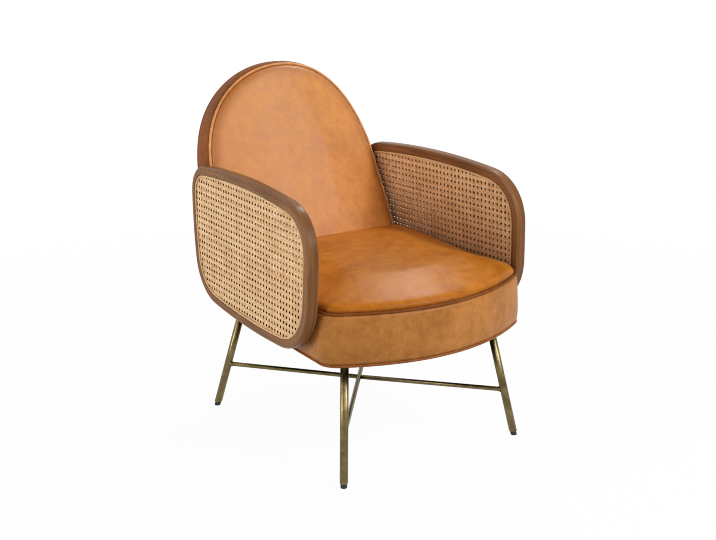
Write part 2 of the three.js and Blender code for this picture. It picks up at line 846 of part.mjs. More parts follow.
function makeBackPiping() {
  const line = (fromHeight, inset, depth) =>
    new THREE.CatmullRomCurve3(
      wholeBackEdge(fromHeight).map(({ station, sign }) => edgePoint(station, inset, depth, sign)),
    );
  const front = line(seatEdgeHeight + 2 * pipingRadius, pipingRadius, backEdge);
  addPiece("back_piping_front", cord(front, pipingRadius, backPipingSteps), "piping");
  const rearDepth = (height) => backRear(height) - rearPipingRadius;
  const rear = line(seatBottom + pipingRadius, rearPipingRadius, rearDepth);
  addPiece("back_piping_rear", cord(rear, rearPipingRadius, backPipingSteps), "piping");
}

// The bolts that hold the plywood to the seat box, or the holes that clear them.
function backBolts(clearance) {
  const start = plyRear(backBoltHeight - backBoltHeadRadius) - backBoltHeadHeight - fit;
  const head = clearance ? backBoltHeadHeight + overrun : backBoltHeadHeight;
  const radius = backBoltRadius + clearance;
  const profile = [
    [0, -backBoltLength - clearance],
    [radius, -backBoltLength - clearance],
    [radius, -clearance],
    [backBoltHeadRadius + clearance, -clearance],
    [backBoltHeadRadius + clearance, head],
    [0, head],
  ];
  return [-1, 1].map((sign) => {
    const from = new THREE.Vector3(sign * backBoltSpread, start, backBoltHeight);
    const to = new THREE.Vector3(sign * backBoltSpread, start + backBoltHeadHeight, backBoltHeight);
    return turned(profile, from, to, smallSides);
  });
}

// Arms

const panelCounts = [
  [5, 6],
  [4, 7],
  [5, 7],
  [4, 6],
];
const panel = bowedOutline(
  [panelTopRear, panelTopFront, panelBottomFront, panelBottomRear],
  panelBows,
  panelCorners,
  panelCounts,
);
const panelNormals = outwardNormals(panel);

// A point beside the cane's edge, out from it in the arm's plane and across the arm's thickness.
function armPoint(i, out, across) {
  const place = panel[i].clone().addScaledVector(panelNormals[i], out);
  return new THREE.Vector3(across, place.x, place.y - armPlaneHeight);
}

function sweptRound(section) {
  return skin(panel.map((_, i) => section.map(([out, across]) => armPoint(i, out, across))), {
    loop: true,
  });
}

function armFrameShape() {
  const half = armThickness / 2;
  const floor = half - rebateDepth;
  const round = armEdgeRound;
  const bend = round * (1 - Math.SQRT1_2);
  const outer = armFaceWidth;
  const upper = [
    [-rebateWidth, floor],
    [0, floor],
    [0, half],
    [outer - round, half],
    [outer - bend, half - bend],
    [outer, half - round],
  ];
  const lower = upper.map(([out, across]) => [out, -across]).reverse();
  return sweptRound([...upper, ...lower]);
}

function splineShape(face) {
  const low = armThickness / 2 - rebateDepth + caneThickness + 2 * fit;
  const high = armThickness / 2;
  const inner = -rebateWidth + caneEdgeGap;
  const outer = -caneEdgeGap;
  const middle = (inner + outer) / 2;
  const section = [
    [inner, low],
    [outer, low],
    [outer, high],
    [middle, high + splineCrown],
    [inner, high],
  ];
  return sweptRound(section.map(([out, across]) => [out, face * across]));
}

function caneShape(face) {
  const edge = grown(panel, -caneEdgeGap);
  const clear = grown(panel, -rebateWidth - caneMargin);
  const inside = ([x, y]) => {
    let within = false;
    clear.forEach((a, i) => {
      const b = clear[(i + 1) % clear.length];
      if (a.y > y !== b.y > y && x < a.x + ((b.x - a.x) * (y - a.y)) / (b.y - a.y)) {
        within = !within;
      }
    });
    return within;
  };
  const box = new THREE.Box2().setFromPoints(clear);
  const middle = box.getCenter(new THREE.Vector2());
  const half = caneHole / 2;
  const across = Math.ceil((box.max.x - box.min.x) / canePitch);
  const up = Math.ceil((box.max.y - box.min.y) / canePitch);
  const gaps = [];
  for (let i = -across; i <= across; i += 1) {
    for (let j = -up; j <= up; j += 1) {
      const x = middle.x + i * canePitch;
      const y = middle.y + j * canePitch;
      const corners = [
        [x - half, y - half],
        [x - half, y + half],
        [x + half, y + half],
        [x + half, y - half],
      ];
      if (corners.every(inside)) {
        gaps.push(new THREE.BoxGeometry(caneHole, caneHole, 2 * overrun).translate(x, y, 0));
      }
    }
  }
  const sheet = cut(skin([atHeight(edge, 0), atHeight(edge, caneThickness)]), gaps);
  // The outline's X runs along the arm and its Y up it, so the sheet is turned upright.
  sheet.rotateX(Math.PI / 2);
  sheet.rotateZ(Math.PI / 2);
  const floor = armThickness / 2 - rebateDepth + fit;
  sheet.translate(face > 0 ? floor : -floor - caneThickness, 0, -armPlaneHeight);
  return sheet;
}

// The middle of the wood below the cane, at a place along the arm.
function bottomRail(along) {
  const reach = (i) => (panel[i].y > armPlaneHeight ? Infinity : Math.abs(panel[i].x - along));
  const nearest = panel.reduce((best, _, i) => (reach(i) < reach(best) ? i : best), 0);
  return armPoint(nearest, armFaceWidth / 2, 0);
}

// The studs of one arm, or the holes that clear them, in the arm's own frame. inward is the side
// of the arm that faces the seat.
function armStuds(inward, clearance) {
  return studPlaces.map((along) => {
    const centre = bottomRail(along);
    const from = centre.clone();
    const to = centre.clone();
    from.x = inward * (armThickness / 2 - studIntoArm - clearance);
    to.x = inward * (armThickness / 2 + seatToArm + bandThickness + studIntoSeat + clearance);
    return rod(from, to, studRadius + clearance, smallSides);
  });
}

function armSpacers(inward) {
  return studPlaces.map((along) => {
    const from = bottomRail(along);
    const to = from.clone();
    from.x = inward * (armThickness / 2 + fit);
    to.x = from.x + inward * spacerThickness;
    const inner = studRadius + fit;
    const profile = [
      [inner, 0],
      [spacerRadius, 0],
      [spacerRadius, spacerThickness],
      [inner, spacerThickness],
      [inner, 0],
    ];
    return turned(profile, from, to, roundSides);
  });
}

// The studs' holes through the seat's pieces, in the chair's frame.
const seatTools = [];

function makeArm({ side, sign }) {
  const arm = new THREE.Group();
  arm.position.set(sign * armPlaneHalfWidth, 0, armPlaneHeight);
  arm.rotation.set(0, -sign * armLeanIn, sign * armToeOut, "ZYX");
  arm.updateMatrix();
  const inward = -sign;
  addPiece(`arm_frame_${side}`, cut(armFrameShape(), armStuds(inward, fit)), "walnut", arm);
  for (const [place, face] of [["outer", sign], ["inner", -sign]]) {
    addPiece(`cane_${place}_${side}`, caneShape(face), "cane", arm);
    addPiece(`cane_spline_${place}_${side}`, splineShape(face), "spline", arm);
  }
  armStuds(inward, 0).forEach((stud, i) => addPiece(`arm_stud_${side}_${i + 1}`, stud, "steel", arm));
  armSpacers(inward).forEach((ring, i) => addPiece(`arm_spacer_${side}_${i + 1}`, ring, "rubber", arm));
  seatTools.push(...armStuds(inward, fit).map((tool) => tool.applyMatrix4(arm.matrix)));
  chair.add(arm);
}

for (const leg of legPlaces) {
  makeLeg(leg);
  makeGlide(leg);
  makePlate(leg);
}
makeScrews();
makeCrossRods();
leftAndRight.forEach(makeArm);
makeSeatLayer("seat_board", "plywood", seatBottom, boardThickness, bandThickness + fit);
makeSeatLayer("dust_cover", "lining", dustCoverBottom, dustCoverThickness, besidePiping);
makeSeatBox([...seatTools, ...backBolts(fit)]);
makeSeatBand(seatTools);
makeSeatPiping();
makeSeatCushion();
addPiece("back_cushion", backCushionShape(0), "leather");
makeBackPly(backBolts(fit));
makeBackPanel();
makeBackBand();
makeBackPiping();
backBolts(0).forEach((bolt, i) => addPiece(`back_bolt_${i + 1}`, bolt, "steel"));

// The chair is centred over its footprint.
const box = new THREE.Box3().setFromObject(chair);
chair.position.y = -(box.min.y + box.max.y) / 2;

const footprintFrame = new THREE.Group();
footprintFrame.add(chair);

export default footprintFrame;
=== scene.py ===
"""The looks of the lounge chair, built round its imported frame.

Leather, cane, wood and brass are made anew, finer than the frame's solids and on the same sizes.
The frame's other solids are shown as they are. Sizes are in millimetres in the chair's own layout,
whose middle is the middle of the four feet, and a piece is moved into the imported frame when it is
made. The studio's sizes are in metres.
"""

import json
import math

import bpy
import numpy as np
from mathutils import Matrix, Vector
from mathutils.kdtree import KDTree


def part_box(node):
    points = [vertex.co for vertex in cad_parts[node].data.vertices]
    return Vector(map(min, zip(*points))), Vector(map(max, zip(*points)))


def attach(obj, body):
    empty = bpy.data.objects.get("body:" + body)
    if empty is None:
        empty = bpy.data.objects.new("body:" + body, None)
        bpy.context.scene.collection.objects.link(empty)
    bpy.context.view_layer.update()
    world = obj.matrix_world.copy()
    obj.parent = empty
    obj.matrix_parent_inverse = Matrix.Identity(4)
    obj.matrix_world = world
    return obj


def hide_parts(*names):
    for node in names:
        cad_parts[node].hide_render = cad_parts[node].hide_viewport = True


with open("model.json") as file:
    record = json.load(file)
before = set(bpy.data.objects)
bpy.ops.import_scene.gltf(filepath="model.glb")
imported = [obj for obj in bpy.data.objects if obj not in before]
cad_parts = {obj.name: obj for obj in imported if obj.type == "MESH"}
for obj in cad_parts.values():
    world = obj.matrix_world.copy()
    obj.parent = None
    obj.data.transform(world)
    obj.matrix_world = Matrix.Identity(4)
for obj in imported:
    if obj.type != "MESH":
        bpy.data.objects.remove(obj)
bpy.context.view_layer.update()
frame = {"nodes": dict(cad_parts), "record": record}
scene = bpy.context.scene

MM = 0.001
BODY = "root"
SIDES = {"right": -1, "left": 1}
ENDS = {"front": -1, "rear": 1}
SLOTS = {part["node"]: part["material_slot"] for part in frame["record"]["subparts"]}
rng = np.random.default_rng(7)

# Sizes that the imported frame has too
FIT = 0.3  # between two pieces that touch
PIPING, REAR_PIPING = 3.0, 2.6  # radii
SEAT_BOTTOM, SEAT_EDGE = 273.0, 381.0
SEAT_FRONT, SEAT_BOW = 259.0, 86.0
SEAT_CORNER, REAR_CORNER, SEAT_TO_ARM = 24.0, 18.0, 7.5
SEAT_CROWN, CROWN_REACH = 47.0, 60.0  # the crown runs on under the back by its reach
SEAM_DEPTH = 205.0  # foot of the seam between the seat's boxing and the back's
CROWN_POWER, CROWN_SHOULDER, FULLNESS = 3.2, 0.5, 0.62
BAND, BAND_BULGE = 6.0, 2.0
ARCH_HEIGHT, ARCH_BASE, ARCH_POWER = 261.0, 552.0, 2.1
BACK_TO_ARM = 2.3
EDGE_FOOT, EDGE_FOOT_HEIGHT, EDGE_TOP = 188.0, 403.0, 334.0  # of the back's front edge
EDGE_FOOT_SLOPE, EDGE_TOP_SLOPE = 0.4, -0.05
REAR_FOOT, REAR_SLOPE, REAR_TURN, REAR_TURN_RISE = 264.8, 0.25, 660.0, 100.0
BACK_CROWN, BACK_BAND, BACK_BAND_BULGE = 30.0, 3.0, 1.5
PLY, PANEL, PANEL_DOME, LAYER_GAP, PANEL_OVERHANG = 15.0, 4.0, 2.0, 0.6, 1.0
ARM_HALF, ARM_HEIGHT, ARM_TOE, ARM_LEAN = 263.8, 470.4, 0.0501, 0.0369
ARM_THICK, ARM_FACE, ARM_ROUND = 27.0, 20.0, 6.0
ARM_CORNERS = [(299, 578), (-226, 569), (-216, 306), (263, 317)]
ARM_BOWS, ARM_CORNER_LENGTHS = [18, 3, 14, 10], [43, 83, 95, 70]
REBATE, REBATE_DEPTH, CANE, CANE_GAP = 5.2, 3.4, 1.2, 0.4
LEG_RADIUS, GLIDE_HEIGHT, GLIDE_RADIUS, GLIDE_EDGE = 8.9, 9.0, 7.2, 1.5
FOOT_HALF, FOOT_DEPTH = 236.0, 280.0
LEG_TOP = {"front": (196.0, -230.0), "rear": (175.0, 230.8)}
DUST_COVER, PLATE = 1.0, 3.0
ROD_HEIGHT, ROD_RADIUS, WELD_RADIUS, WELD_LENGTH = 109.0, 5.2, 8.0, 9.0

CORE_TOP = SEAT_EDGE - PIPING - 2 * FIT
BOTTOM_PIPING = SEAT_BOTTOM - PIPING - FIT
BACK_TOP = ARCH_BASE + ARCH_HEIGHT
BESIDE_PIPING = 2 * PIPING + 2 * FIT  # edge of a cushion to its piping's outer side
LEG_TOP_HEIGHT = SEAT_BOTTOM - DUST_COVER - PLATE - 3 * FIT

# Finer shapes that only the scene has
ROUND_SIDES, GLIDE_SIDES, CORD_SIDES = 40, 36, 12
SEAT_COUNTS = [(26, 6), (90, 12), (116, 12), (90, 6)]  # steps of each side and of its corner
ARM_COUNTS = [(100, 26), (48, 40), (74, 46), (44, 36)]
ARCH_STEPS, STATION_STEP = 110, 5  # of the back's edge, round its arch and up its sides
BAND_LIFT = 0.2  # of the boxings' lower edges
SEWN_IN = 9  # power by which a boxing turns in close to its seams only
CUSHION_SIDE = 1.0  # height of a cushion's upright edge above its piping's middle
CUSHION_LIP = (2.0, 0.6)  # where its edge turns over the piping, inwards and up
DOME_RINGS, DOME_EDGE, DOME_TIP = 56, 0.976, 0.02
FACE_COLUMNS, PANEL_COLUMNS, FACE_MARGIN = 70, 50, 0.06
PANEL_EDGE = 0.5
BAND_STEPS, BACK_BAND_STEPS = 18, 14
BAND_SWELL, BACK_BAND_SWELL = (2.4, 1.4), (2.2, 1.1)  # squareness, and depth at the seams
# Waves in the leather: their height, their length and the seed of their unevenness
BAND_RIPPLE, BAND_TUCK, BACK_RIPPLE = (0.7, 90, 3), (0.35, 24, 4), (0.3, 70, 9)
FOLDS = (0.25, 17, 5), (0.3, 48, 6)
BROAD_ACROSS, BROAD_ALONG = (0.8, 210, 11), (1, 170, 12)

glide_boxes = [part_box(f"glide_{end}_{side}") for end in ENDS for side in SIDES]
base_y = sum((low + high).y / 2 for low, high in glide_boxes) / 4


# Meshes


def placed(points):
    """Points of the chair's layout in millimetres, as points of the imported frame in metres."""
    return np.asarray(points, float) * MM + np.array([0, base_y, 0])


def added(name, data):
    """A new object in the scene."""
    made = bpy.data.objects.new(name, data)
    scene.collection.objects.link(made)
    return made


def piece(name, node, points, faces, material):
    """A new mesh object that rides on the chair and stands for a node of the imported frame."""
    mesh = bpy.data.meshes.new(name)
    mesh.from_pydata(placed(points).tolist(), [], faces)
    mesh.update()
    mesh.shade_smooth()
    made = added(name, mesh)
    mesh.materials.append(material)
    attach(made, BODY)
    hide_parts(node)
    return made


def marked(made, name, values):
    """Gives each point of the piece a number that its finish can read."""
    attribute = made.data.attributes.new(name, "FLOAT", "POINT")
    attribute.data.foreach_set("value", values.astype(np.float32))


def ring_faces(rows, columns, loop=False, wrap=True):
    """Quads between neighbouring rows of a grid of points."""
    i = np.arange(rows if loop else rows - 1)[:, None]
    k = np.arange(columns if wrap else columns - 1)[None, :]
    across = (k + 1) % columns
    up = (i + 1) % rows
    quads = [i * columns + k, i * columns + across, up * columns + across, up * columns + k]
    return np.stack(np.broadcast_arrays(*quads), -1).reshape(-1, 4)


def closed_body(rings, caps=2):
    """Points and outward faces of a closed body through rings of points.

    With two caps both ends are closed, with one the last ring lies flat and closes itself, and
    with none the last ring is joined to the first.
    """
    rings = np.asarray(rings, float)
    rows, columns = rings.shape[:2]
    points = rings.reshape(-1, 3)
    quads = ring_faces(rows, columns, loop=caps == 0)
    a, b, c, d = points[quads.T]
    inside_out = (a * (np.cross(b, c) + np.cross(c, d))).sum() < 0
    ends = [list(range(columns))[::-1], list(range((rows - 1) * columns, rows * columns))]
    faces = quads.tolist() + ends[:caps]
    return points, [face[::-1] for face in faces] if inside_out else faces


def swept(name, node, rings, material, loop=False):
    return piece(name, node, *closed_body(rings, 0 if loop else 2), material)


def unit(vectors):
    """The vectors, each made one long."""
    return vectors / np.linalg.norm(vectors, axis=-1, keepdims=True)


def spokes(axis, aside, count):
    """Unit directions square to an axis and evenly round it."""
    first = unit(np.cross(axis, aside))
    turn = np.linspace(0, 2 * math.pi, count, endpoint=False)
    return np.outer(np.cos(turn), first) + np.outer(np.sin(turn), np.cross(axis, first))


def tube(name, node, line, normals, radius, material, loop=False):
    """A cord of round section along points, with one sideways direction for each point."""
    line, normals = np.asarray(line, float), np.asarray(normals, float)
    if loop:
        along = np.roll(line, -1, 0) - np.roll(line, 1, 0)
    else:
        along = np.gradient(line, axis=0)
    along = unit(along)
    normals = unit(normals - along * (normals * along).sum(1)[:, None])
    others = np.cross(along, normals)
    turn = np.linspace(0, 2 * math.pi, CORD_SIDES, endpoint=False)[None, :, None]
    around = np.cos(turn) * normals[:, None] + np.sin(turn) * others[:, None]
    return swept(name, node, line[:, None] + radius * around, material, loop)


def travelled(line):
    """Distance along a line of points, closed at the end."""
    steps = np.linalg.norm(np.roll(line, -1, 0) - line, axis=1)
    return np.concatenate([[0], np.cumsum(steps)])


# Outlines


def bowed_outline(corners, bows, lengths, counts):
    """A closed outline of four bowed sides and four soft corners, and where each part starts."""
    corners = np.array(corners, float)
    centre = corners.mean(0)
    sides = []
    for i in range(4):
        a, b = corners[i], corners[(i + 1) % 4]
        length = np.linalg.norm(b - a)
        out = np.array([b[1] - a[1], a[0] - b[0]]) / length
        if out @ ((a + b) / 2 - centre) < 0:
            out = -out
        control = (a + b) / 2 + 2 * bows[i] * out
        sides.append((a, control, b, lengths[i] / length, 1 - lengths[(i + 1) % 4] / length))

    def at(side, t):
        a, c, b = side[:3]
        t = np.asarray(t)[..., None]
        return (1 - t) ** 2 * a + 2 * (1 - t) * t * c + t * t * b

    def direction(side, t):
        a, c, b = side[:3]
        return unit((1 - t) * (c - a) + t * (b - c))

    parts = []
    for i, side in enumerate(sides):
        follower = sides[(i + 1) % 4]
        side_steps, corner_steps = counts[i]
        parts.append(at(side, side[3] + (side[4] - side[3]) * np.arange(side_steps) / side_steps))
        a, d = at(side, side[4]), at(follower, follower[3])
        reach = lengths[(i + 1) % 4] * FULLNESS
        b = a + direction(side, side[4]) * reach
        c = d - direction(follower, follower[3]) * reach
        t = (np.arange(corner_steps) / corner_steps)[:, None]
        s = 1 - t
        parts.append(s**3 * a + 3 * s**2 * t * b + 3 * s * t**2 * c + t**3 * d)
    return np.concatenate(parts), np.cumsum([0, *np.ravel(counts)])


def outward(points):
    """Unit outward normals of a closed outline."""
    x, y = points.T
    area = (x * np.roll(y, -1) - np.roll(x, -1) * y).sum()
    along = unit(np.roll(points, -1, 0) - np.roll(points, 1, 0))
    return math.copysign(1, area) * np.stack([along[:, 1], -along[:, 0]], 1)


def raised(points, height):
    return np.column_stack([points, np.full(len(points), height)])


def smoothstep(x, low, high):
    t = np.clip((x - low) / (high - low), 0, 1)
    return t * t * (3 - 2 * t)


def soft_wave(distance, height, wave, seed):
    """A gentle uneven wave along a seam."""
    source = np.random.default_rng(seed)
    total = 0
    for factor in (1.0, 1.7, 2.9):
        total = total + np.sin(2 * math.pi * distance * factor / wave + source.uniform(0, 6.3))
    return height * (total / 3)


# Where things stand


def arm_inner_face(depth, height):
    """Distance of an arm's inner face from the chair's middle plane."""
    level = math.cos(ARM_LEAN)
    normal = math.cos(ARM_TOE) * level, math.sin(ARM_TOE) * level, math.sin(ARM_LEAN)
    away = ARM_THICK / 2 + normal[1] * depth + normal[2] * (height - ARM_HEIGHT)
    return ARM_HALF - away / normal[0]


def seat_side(depth, height):
    return arm_inner_face(depth, height) - SEAT_TO_ARM


BACK_HALF = arm_inner_face(ARM_CORNERS[0][0], ARCH_BASE) - BACK_TO_ARM


def back_edge(height):
    """Depth of the middle of the back's front piping."""
    rise = np.asarray(height, float) - EDGE_FOOT_HEIGHT
    span = BACK_TOP - EDGE_FOOT_HEIGHT
    t = rise / span
    foot = EDGE_FOOT * (1 + 2 * t) + EDGE_FOOT_SLOPE * span * t
    top = EDGE_TOP * (3 - 2 * t) + EDGE_TOP_SLOPE * span * (t - 1)
    return np.where(rise < 0, EDGE_FOOT + EDGE_FOOT_SLOPE * rise, foot * (1 - t) ** 2 + top * t**2)


def back_rear(height):
    """Depth of the back's rear."""
    past = np.maximum(0, np.asarray(height, float) - REAR_TURN)
    straight = REAR_FOOT + REAR_SLOPE * (height - SEAT_BOTTOM)
    return straight - REAR_SLOPE / (2 * REAR_TURN_RISE) * past**2


def cushion_rear(height):
    return back_rear(height) - PANEL - LAYER_GAP - PANEL_OVERHANG - PLY - LAYER_GAP


def seam(height):
    """The seam between the seat's boxing and the back's."""
    t = (height - SEAT_BOTTOM) / (SEAT_EDGE - SEAT_BOTTOM)
    return SEAM_DEPTH + (back_edge(SEAT_EDGE) + PIPING + FIT - SEAM_DEPTH) * t


def back_half(height):
    """Half the back's width, which widens below its arch to meet the seat's."""
    splay = (seat_side(SEAM_DEPTH, SEAT_BOTTOM) - BACK_HALF) / (ARCH_BASE - SEAT_BOTTOM)
    return BACK_HALF + splay * np.maximum(0, ARCH_BASE - height)


def crown(share):
    """The swell of a cushion: 1 in its middle and 0 at its edge, where share is 1."""
    return (1 - np.minimum(1, np.abs(share)) ** CROWN_POWER) ** CROWN_SHOULDER


def back_crown(share, height):
    return crown(share) * crown(np.maximum(0, (height - ARCH_BASE) / ARCH_HEIGHT))


def back_front(share, height, rise=BACK_CROWN):
    """The back cushion's front, at a share of the half width and at a height."""
    return back_edge(height) - rise * back_crown(share, height) - PIPING


# Finishes


def tone(red, green, blue):
    """A colour written as it shows, as the linear values that shaders take."""
    values = [c / 255 for c in (red, green, blue)]
    return (*[c / 12.92 if c < 0.04045 else ((c + 0.055) / 1.055) ** 2.4 for c in values], 1)


class Nodes:
    """A shader's nodes. Values given to a node are numbers, colours or other nodes' sockets."""

    def __init__(self, tree):
        self.tree = tree

    def node(self, kind, inputs=None, **settings):
        made = self.tree.nodes.new("ShaderNode" + kind)
        for key, value in settings.items():
            setattr(made, key, value)
        self.fill(made, inputs or {})
        return made

    def fill(self, made, inputs):
        for key, value in inputs.items():
            if isinstance(value, bpy.types.NodeSocket):
                self.tree.links.new(value, made.inputs[key])
            else:
                made.inputs[key].default_value = value

    def place(self):
        return self.node("TexCoord").outputs["Object"]

    def attribute(self, name, output="Fac"):
        return self.node("Attribute", attribute_name=name).outputs[output]

    def scaled(self, vector, *scale):
        return self.node("Mapping", {"Vector": vector, "Scale": scale}).outputs["Vector"]

    def noise(self, vector, scale, detail=4.0, roughness=0.55, distortion=0.0):
        inputs = {"Vector": vector, "Scale": scale, "Detail": detail}
        inputs.update({"Roughness": roughness, "Distortion": distortion})
        return self.node("TexNoise", inputs).outputs["Fac"]

    def maths(self, operation, first, second):
        return self.node("Math", {0: first, 1: second}, operation=operation).outputs[0]

    def blend(self, *parts):
        """The sum of values, each given with its weight."""
        total = None
        for value, weight in parts:
            part = self.maths("MULTIPLY", value, weight)
            total = part if total is None else self.maths("ADD", total, part)
        return total

    def span(self, value, low, high, to_low, to_high):
        inputs = {"Value": value, "From Min": low, "From Max": high}
        inputs.update({"To Min": to_low, "To Max": to_high})
        return self.node("MapRange", inputs).outputs["Result"]

    def ramp(self, value, *stops):
        """A colour for the value, from pairs of a position and a colour as it shows."""
        made = self.node("ValToRGB", {"Fac": value})
        elements = made.color_ramp.elements
        while len(elements) < len(stops):
            elements.new(0.5)
        for element, (position, colour) in zip(elements, stops):
            element.position = position
            element.color = tone(*colour)
        return made.outputs["Color"]

    def mix(self, share, first, second):
        return self.node("Mix", {0: share, 6: first, 7: second}, data_type="RGBA").outputs[2]

    def bump(self, height, distance, strength, under=None):
        inputs = {"Height": height, "Distance": distance, "Strength": strength}
        if under is not None:
            inputs["Normal"] = under
        return self.node("Bump", inputs).outputs["Normal"]

    def seen(self):
        """1 for rays that show the background as it is: direct, mirrored or through glass."""
        rays = self.node("LightPath").outputs
        seen = self.maths("MAXIMUM", rays["Is Camera Ray"], rays["Is Glossy Ray"])
        return self.maths("MAXIMUM", seen, rays["Is Transmission Ray"])


class Finish(Nodes):
    """The nodes of a new material."""

    def __init__(self, name):
        self.material = bpy.data.materials.new(name)
        self.material.use_nodes = True
        super().__init__(self.material.node_tree)
        self.shader = self.tree.nodes["Principled BSDF"]

    def surface(self, **inputs):
        self.fill(self.shader, {key.replace("_", " "): value for key, value in inputs.items()})
        return self.material


def leather(name, light, mid, dark, gloss, shine, seam_shade_tone=None):
    """Mottled leather with fine pores. A tone of painted shade darkens it where the seam attribute
    is high, along the seams.
    """
    finish = Finish(name)
    place = finish.place()
    clouds = finish.noise(place, 9.0, 3.0, 0.5, 0.4)
    patches = finish.noise(place, 48.0, 4.0, 0.6, 0.3)
    flecks = finish.noise(finish.scaled(place, 1.0, 1.0, 0.6), 210.0, 3.0, 0.6, 0.5)
    mottle = finish.blend((clouds, 0.4), (patches, 0.4), (flecks, 0.2))
    colour = finish.ramp(mottle, (0.36, dark), (0.5, mid), (0.64, light))
    # Painted shade: darker towards the cushions' seams, by the seam attribute.
    if seam_shade_tone:
        shade_weight = finish.maths("MULTIPLY", finish.attribute("seam"), 0.7)
        colour = finish.mix(shade_weight, colour, tone(*seam_shade_tone))
    pores = finish.node("TexVoronoi", {"Vector": place, "Scale": 900.0}).outputs["Distance"]
    wrinkles = finish.noise(finish.scaled(place, 1.0, 1.0, 1.6), 90.0, 5.0, 0.6, 0.8)
    normal = finish.bump(pores, 0.12 * MM, 0.5)
    normal = finish.bump(wrinkles, 0.5 * MM, 0.3, normal)
    rough = finish.span(mottle, 0.35, 0.65, gloss - 0.04, gloss + 0.06)
    return finish.surface(
        Base_Color=colour, Roughness=rough, Normal=normal, Specular_IOR_Level=shine
    )


def brass():
    finish = Finish("brass_antique")
    place = finish.place()
    brushed = finish.noise(finish.scaled(place, 1.0, 1.0, 0.06), 900.0, 3.0)
    tarnish = finish.noise(place, 45.0, 5.0, 0.6)
    stops = (0.3, (90, 78, 48)), (0.5, (112, 98, 65)), (0.72, (131, 116, 82))
    rough = finish.span(finish.maths("ADD", brushed, tarnish), 0.7, 1.3, 0.24, 0.38)
    return finish.surface(
        Base_Color=finish.ramp(tarnish, *stops),
        Metallic=1.0,
        Roughness=rough,
        Normal=finish.bump(brushed, 0.03 * MM, 0.4),
    )


def walnut():
    """Wood whose fibres follow the bend, by the grain attribute of the arms' frames."""
    finish = Finish("walnut_satin")
    grain = finish.attribute("grain", "Vector")
    fibres = finish.noise(finish.scaled(grain, 6.0, 260.0, 260.0), 1.0, 5.0, 0.6, 0.4)
    figure = finish.noise(finish.scaled(grain, 3.0, 46.0, 46.0), 1.0, 3.0, 0.5, 1.2)
    pores = finish.noise(finish.scaled(grain, 30.0, 1400.0, 1400.0), 1.0, 2.0, 0.5)
    pores = finish.span(pores, 0.6, 0.72, 0.0, 1.0)
    both = finish.blend((fibres, 0.5), (figure, 0.5))
    stops = (0.36, (98, 62, 35)), (0.5, (130, 88, 54)), (0.64, (152, 107, 70))
    filled = finish.maths("MULTIPLY", pores, 0.4)
    return finish.surface(
        Base_Color=finish.mix(filled, finish.ramp(both, *stops), tone(70, 44, 28)),
        Roughness=finish.span(both, 0.3, 0.7, 0.26, 0.36),
        Normal=finish.bump(fibres, 0.2 * MM, 0.2, finish.bump(pores, 0.1 * MM, 0.35)),
        Specular_IOR_Level=0.08,
    )


def cane_finish(name, dark, mid, light):
    """Cane or reed, whose strands differ by their strand attribute."""
    finish = Finish(name)
    place = finish.place()
    fibres = finish.noise(place, 420.0, 3.0)
    both = finish.blend((finish.attribute("strand"), 0.45), (finish.noise(place, 22.0), 0.55))
    colour = finish.ramp(both, (0.22, dark), (0.5, mid), (0.75, light))
    return finish.surface(
        Base_Color=finish.mix(finish.span(fibres, 0.4, 0.7, 0.0, 0.3), colour, tone(*dark)),
        Roughness=0.45,
        Normal=finish.bump(fibres, 0.1 * MM, 0.3),
        Specular_IOR_Level=0.15,
    )


def plain(name, first, second, roughness, scale, metallic=0.0):
    finish = Finish(name)
    place = finish.place()
    spots = finish.noise(place, scale, 5.0, 0.6)
    return finish.surface(
        Base_Color=finish.ramp(spots, (0.35, first), (0.65, second)),
        Metallic=metallic,
        Roughness=finish.span(spots, 0.3, 0.7, roughness * 0.85, min(1.0, roughness * 1.1)),
        Normal=finish.bump(finish.noise(place, scale * 6, 3.0), 0.2 * MM, 0.5),
    )


# Painted shade: the tone that the cushions' leather darkens to along their seams.
SEAM_SHADE_TONE = (150, 82, 22)
# Each leather's light, middle and dark tones, its roughness and its shine
back_leather = leather(
    "leather_tan", (218, 142, 60), (202, 126, 45), (185, 109, 34), 0.52, 0.7, SEAM_SHADE_TONE
)
seat_leather = leather(
    "leather_tan_seat", (202, 126, 42), (184, 109, 28), (162, 90, 16), 0.34, 0.1, SEAM_SHADE_TONE
)
boxing = leather("leather_boxing", (189, 125, 62), (171, 110, 48), (152, 95, 38), 0.42, 0.2)
back_boxing = leather("leather_back_boxing", (150, 88, 42), (134, 76, 32), (114, 62, 22), 0.5, 0.1)
cord = leather("leather_piping", (160, 96, 44), (142, 82, 34), (122, 68, 24), 0.45, 0.2)
# Painted highlight: a lighter copy of the piping leather, for the back's front piping where light
# catches it.
highlit_cord = leather(
    "leather_piping_painted_highlight", (232, 170, 108), (216, 150, 90), (190, 122, 64), 0.5, 0.3
)
# Painted shade: a darker copy of the piping leather, for the seat's top piping beside its crease.
shaded_cord = leather("leather_piping_painted_shade", (140, 80, 34), (120, 66, 24), (98, 52, 16), 0.5, 0.1)
brass_finish = brass()
wood = walnut()
cane = cane_finish("cane_natural", (208, 161, 110), (236, 193, 144), (248, 213, 168))
# Painted shade: the strands' inner sides, between an arm's two sheets.
cane_inside_painted_shade = cane_finish("cane_inside_painted_shade", (140, 100, 62), (168, 124, 82), (188, 144, 100))
reed = cane_finish("reed_spline", (190, 146, 98), (222, 186, 138), (238, 208, 164))
finishes = {
    "rubber": plain("rubber_black", (20, 20, 20), (34, 34, 33), 0.75, 300.0),
    "steel": plain("steel_zinc", (140, 141, 142), (178, 178, 176), 0.38, 160.0, metallic=1.0),
    "lining": plain("lining_black", (18, 18, 19), (32, 32, 33), 0.95, 700.0),
    "plywood": plain("plywood_bare", (186, 150, 104), (214, 180, 134), 0.7, 60.0),
    "padding": plain("padding_white", (220, 216, 206), (240, 237, 229), 0.95, 240.0),
}


def finish_solids():
    """Gives the frame's own solids the finish of their slot."""
    for name, solid in frame["nodes"].items():
        if SLOTS.get(name) in finishes:
            for slot in solid.material_slots:
                slot.material = finishes[SLOTS[name]]


# Seat


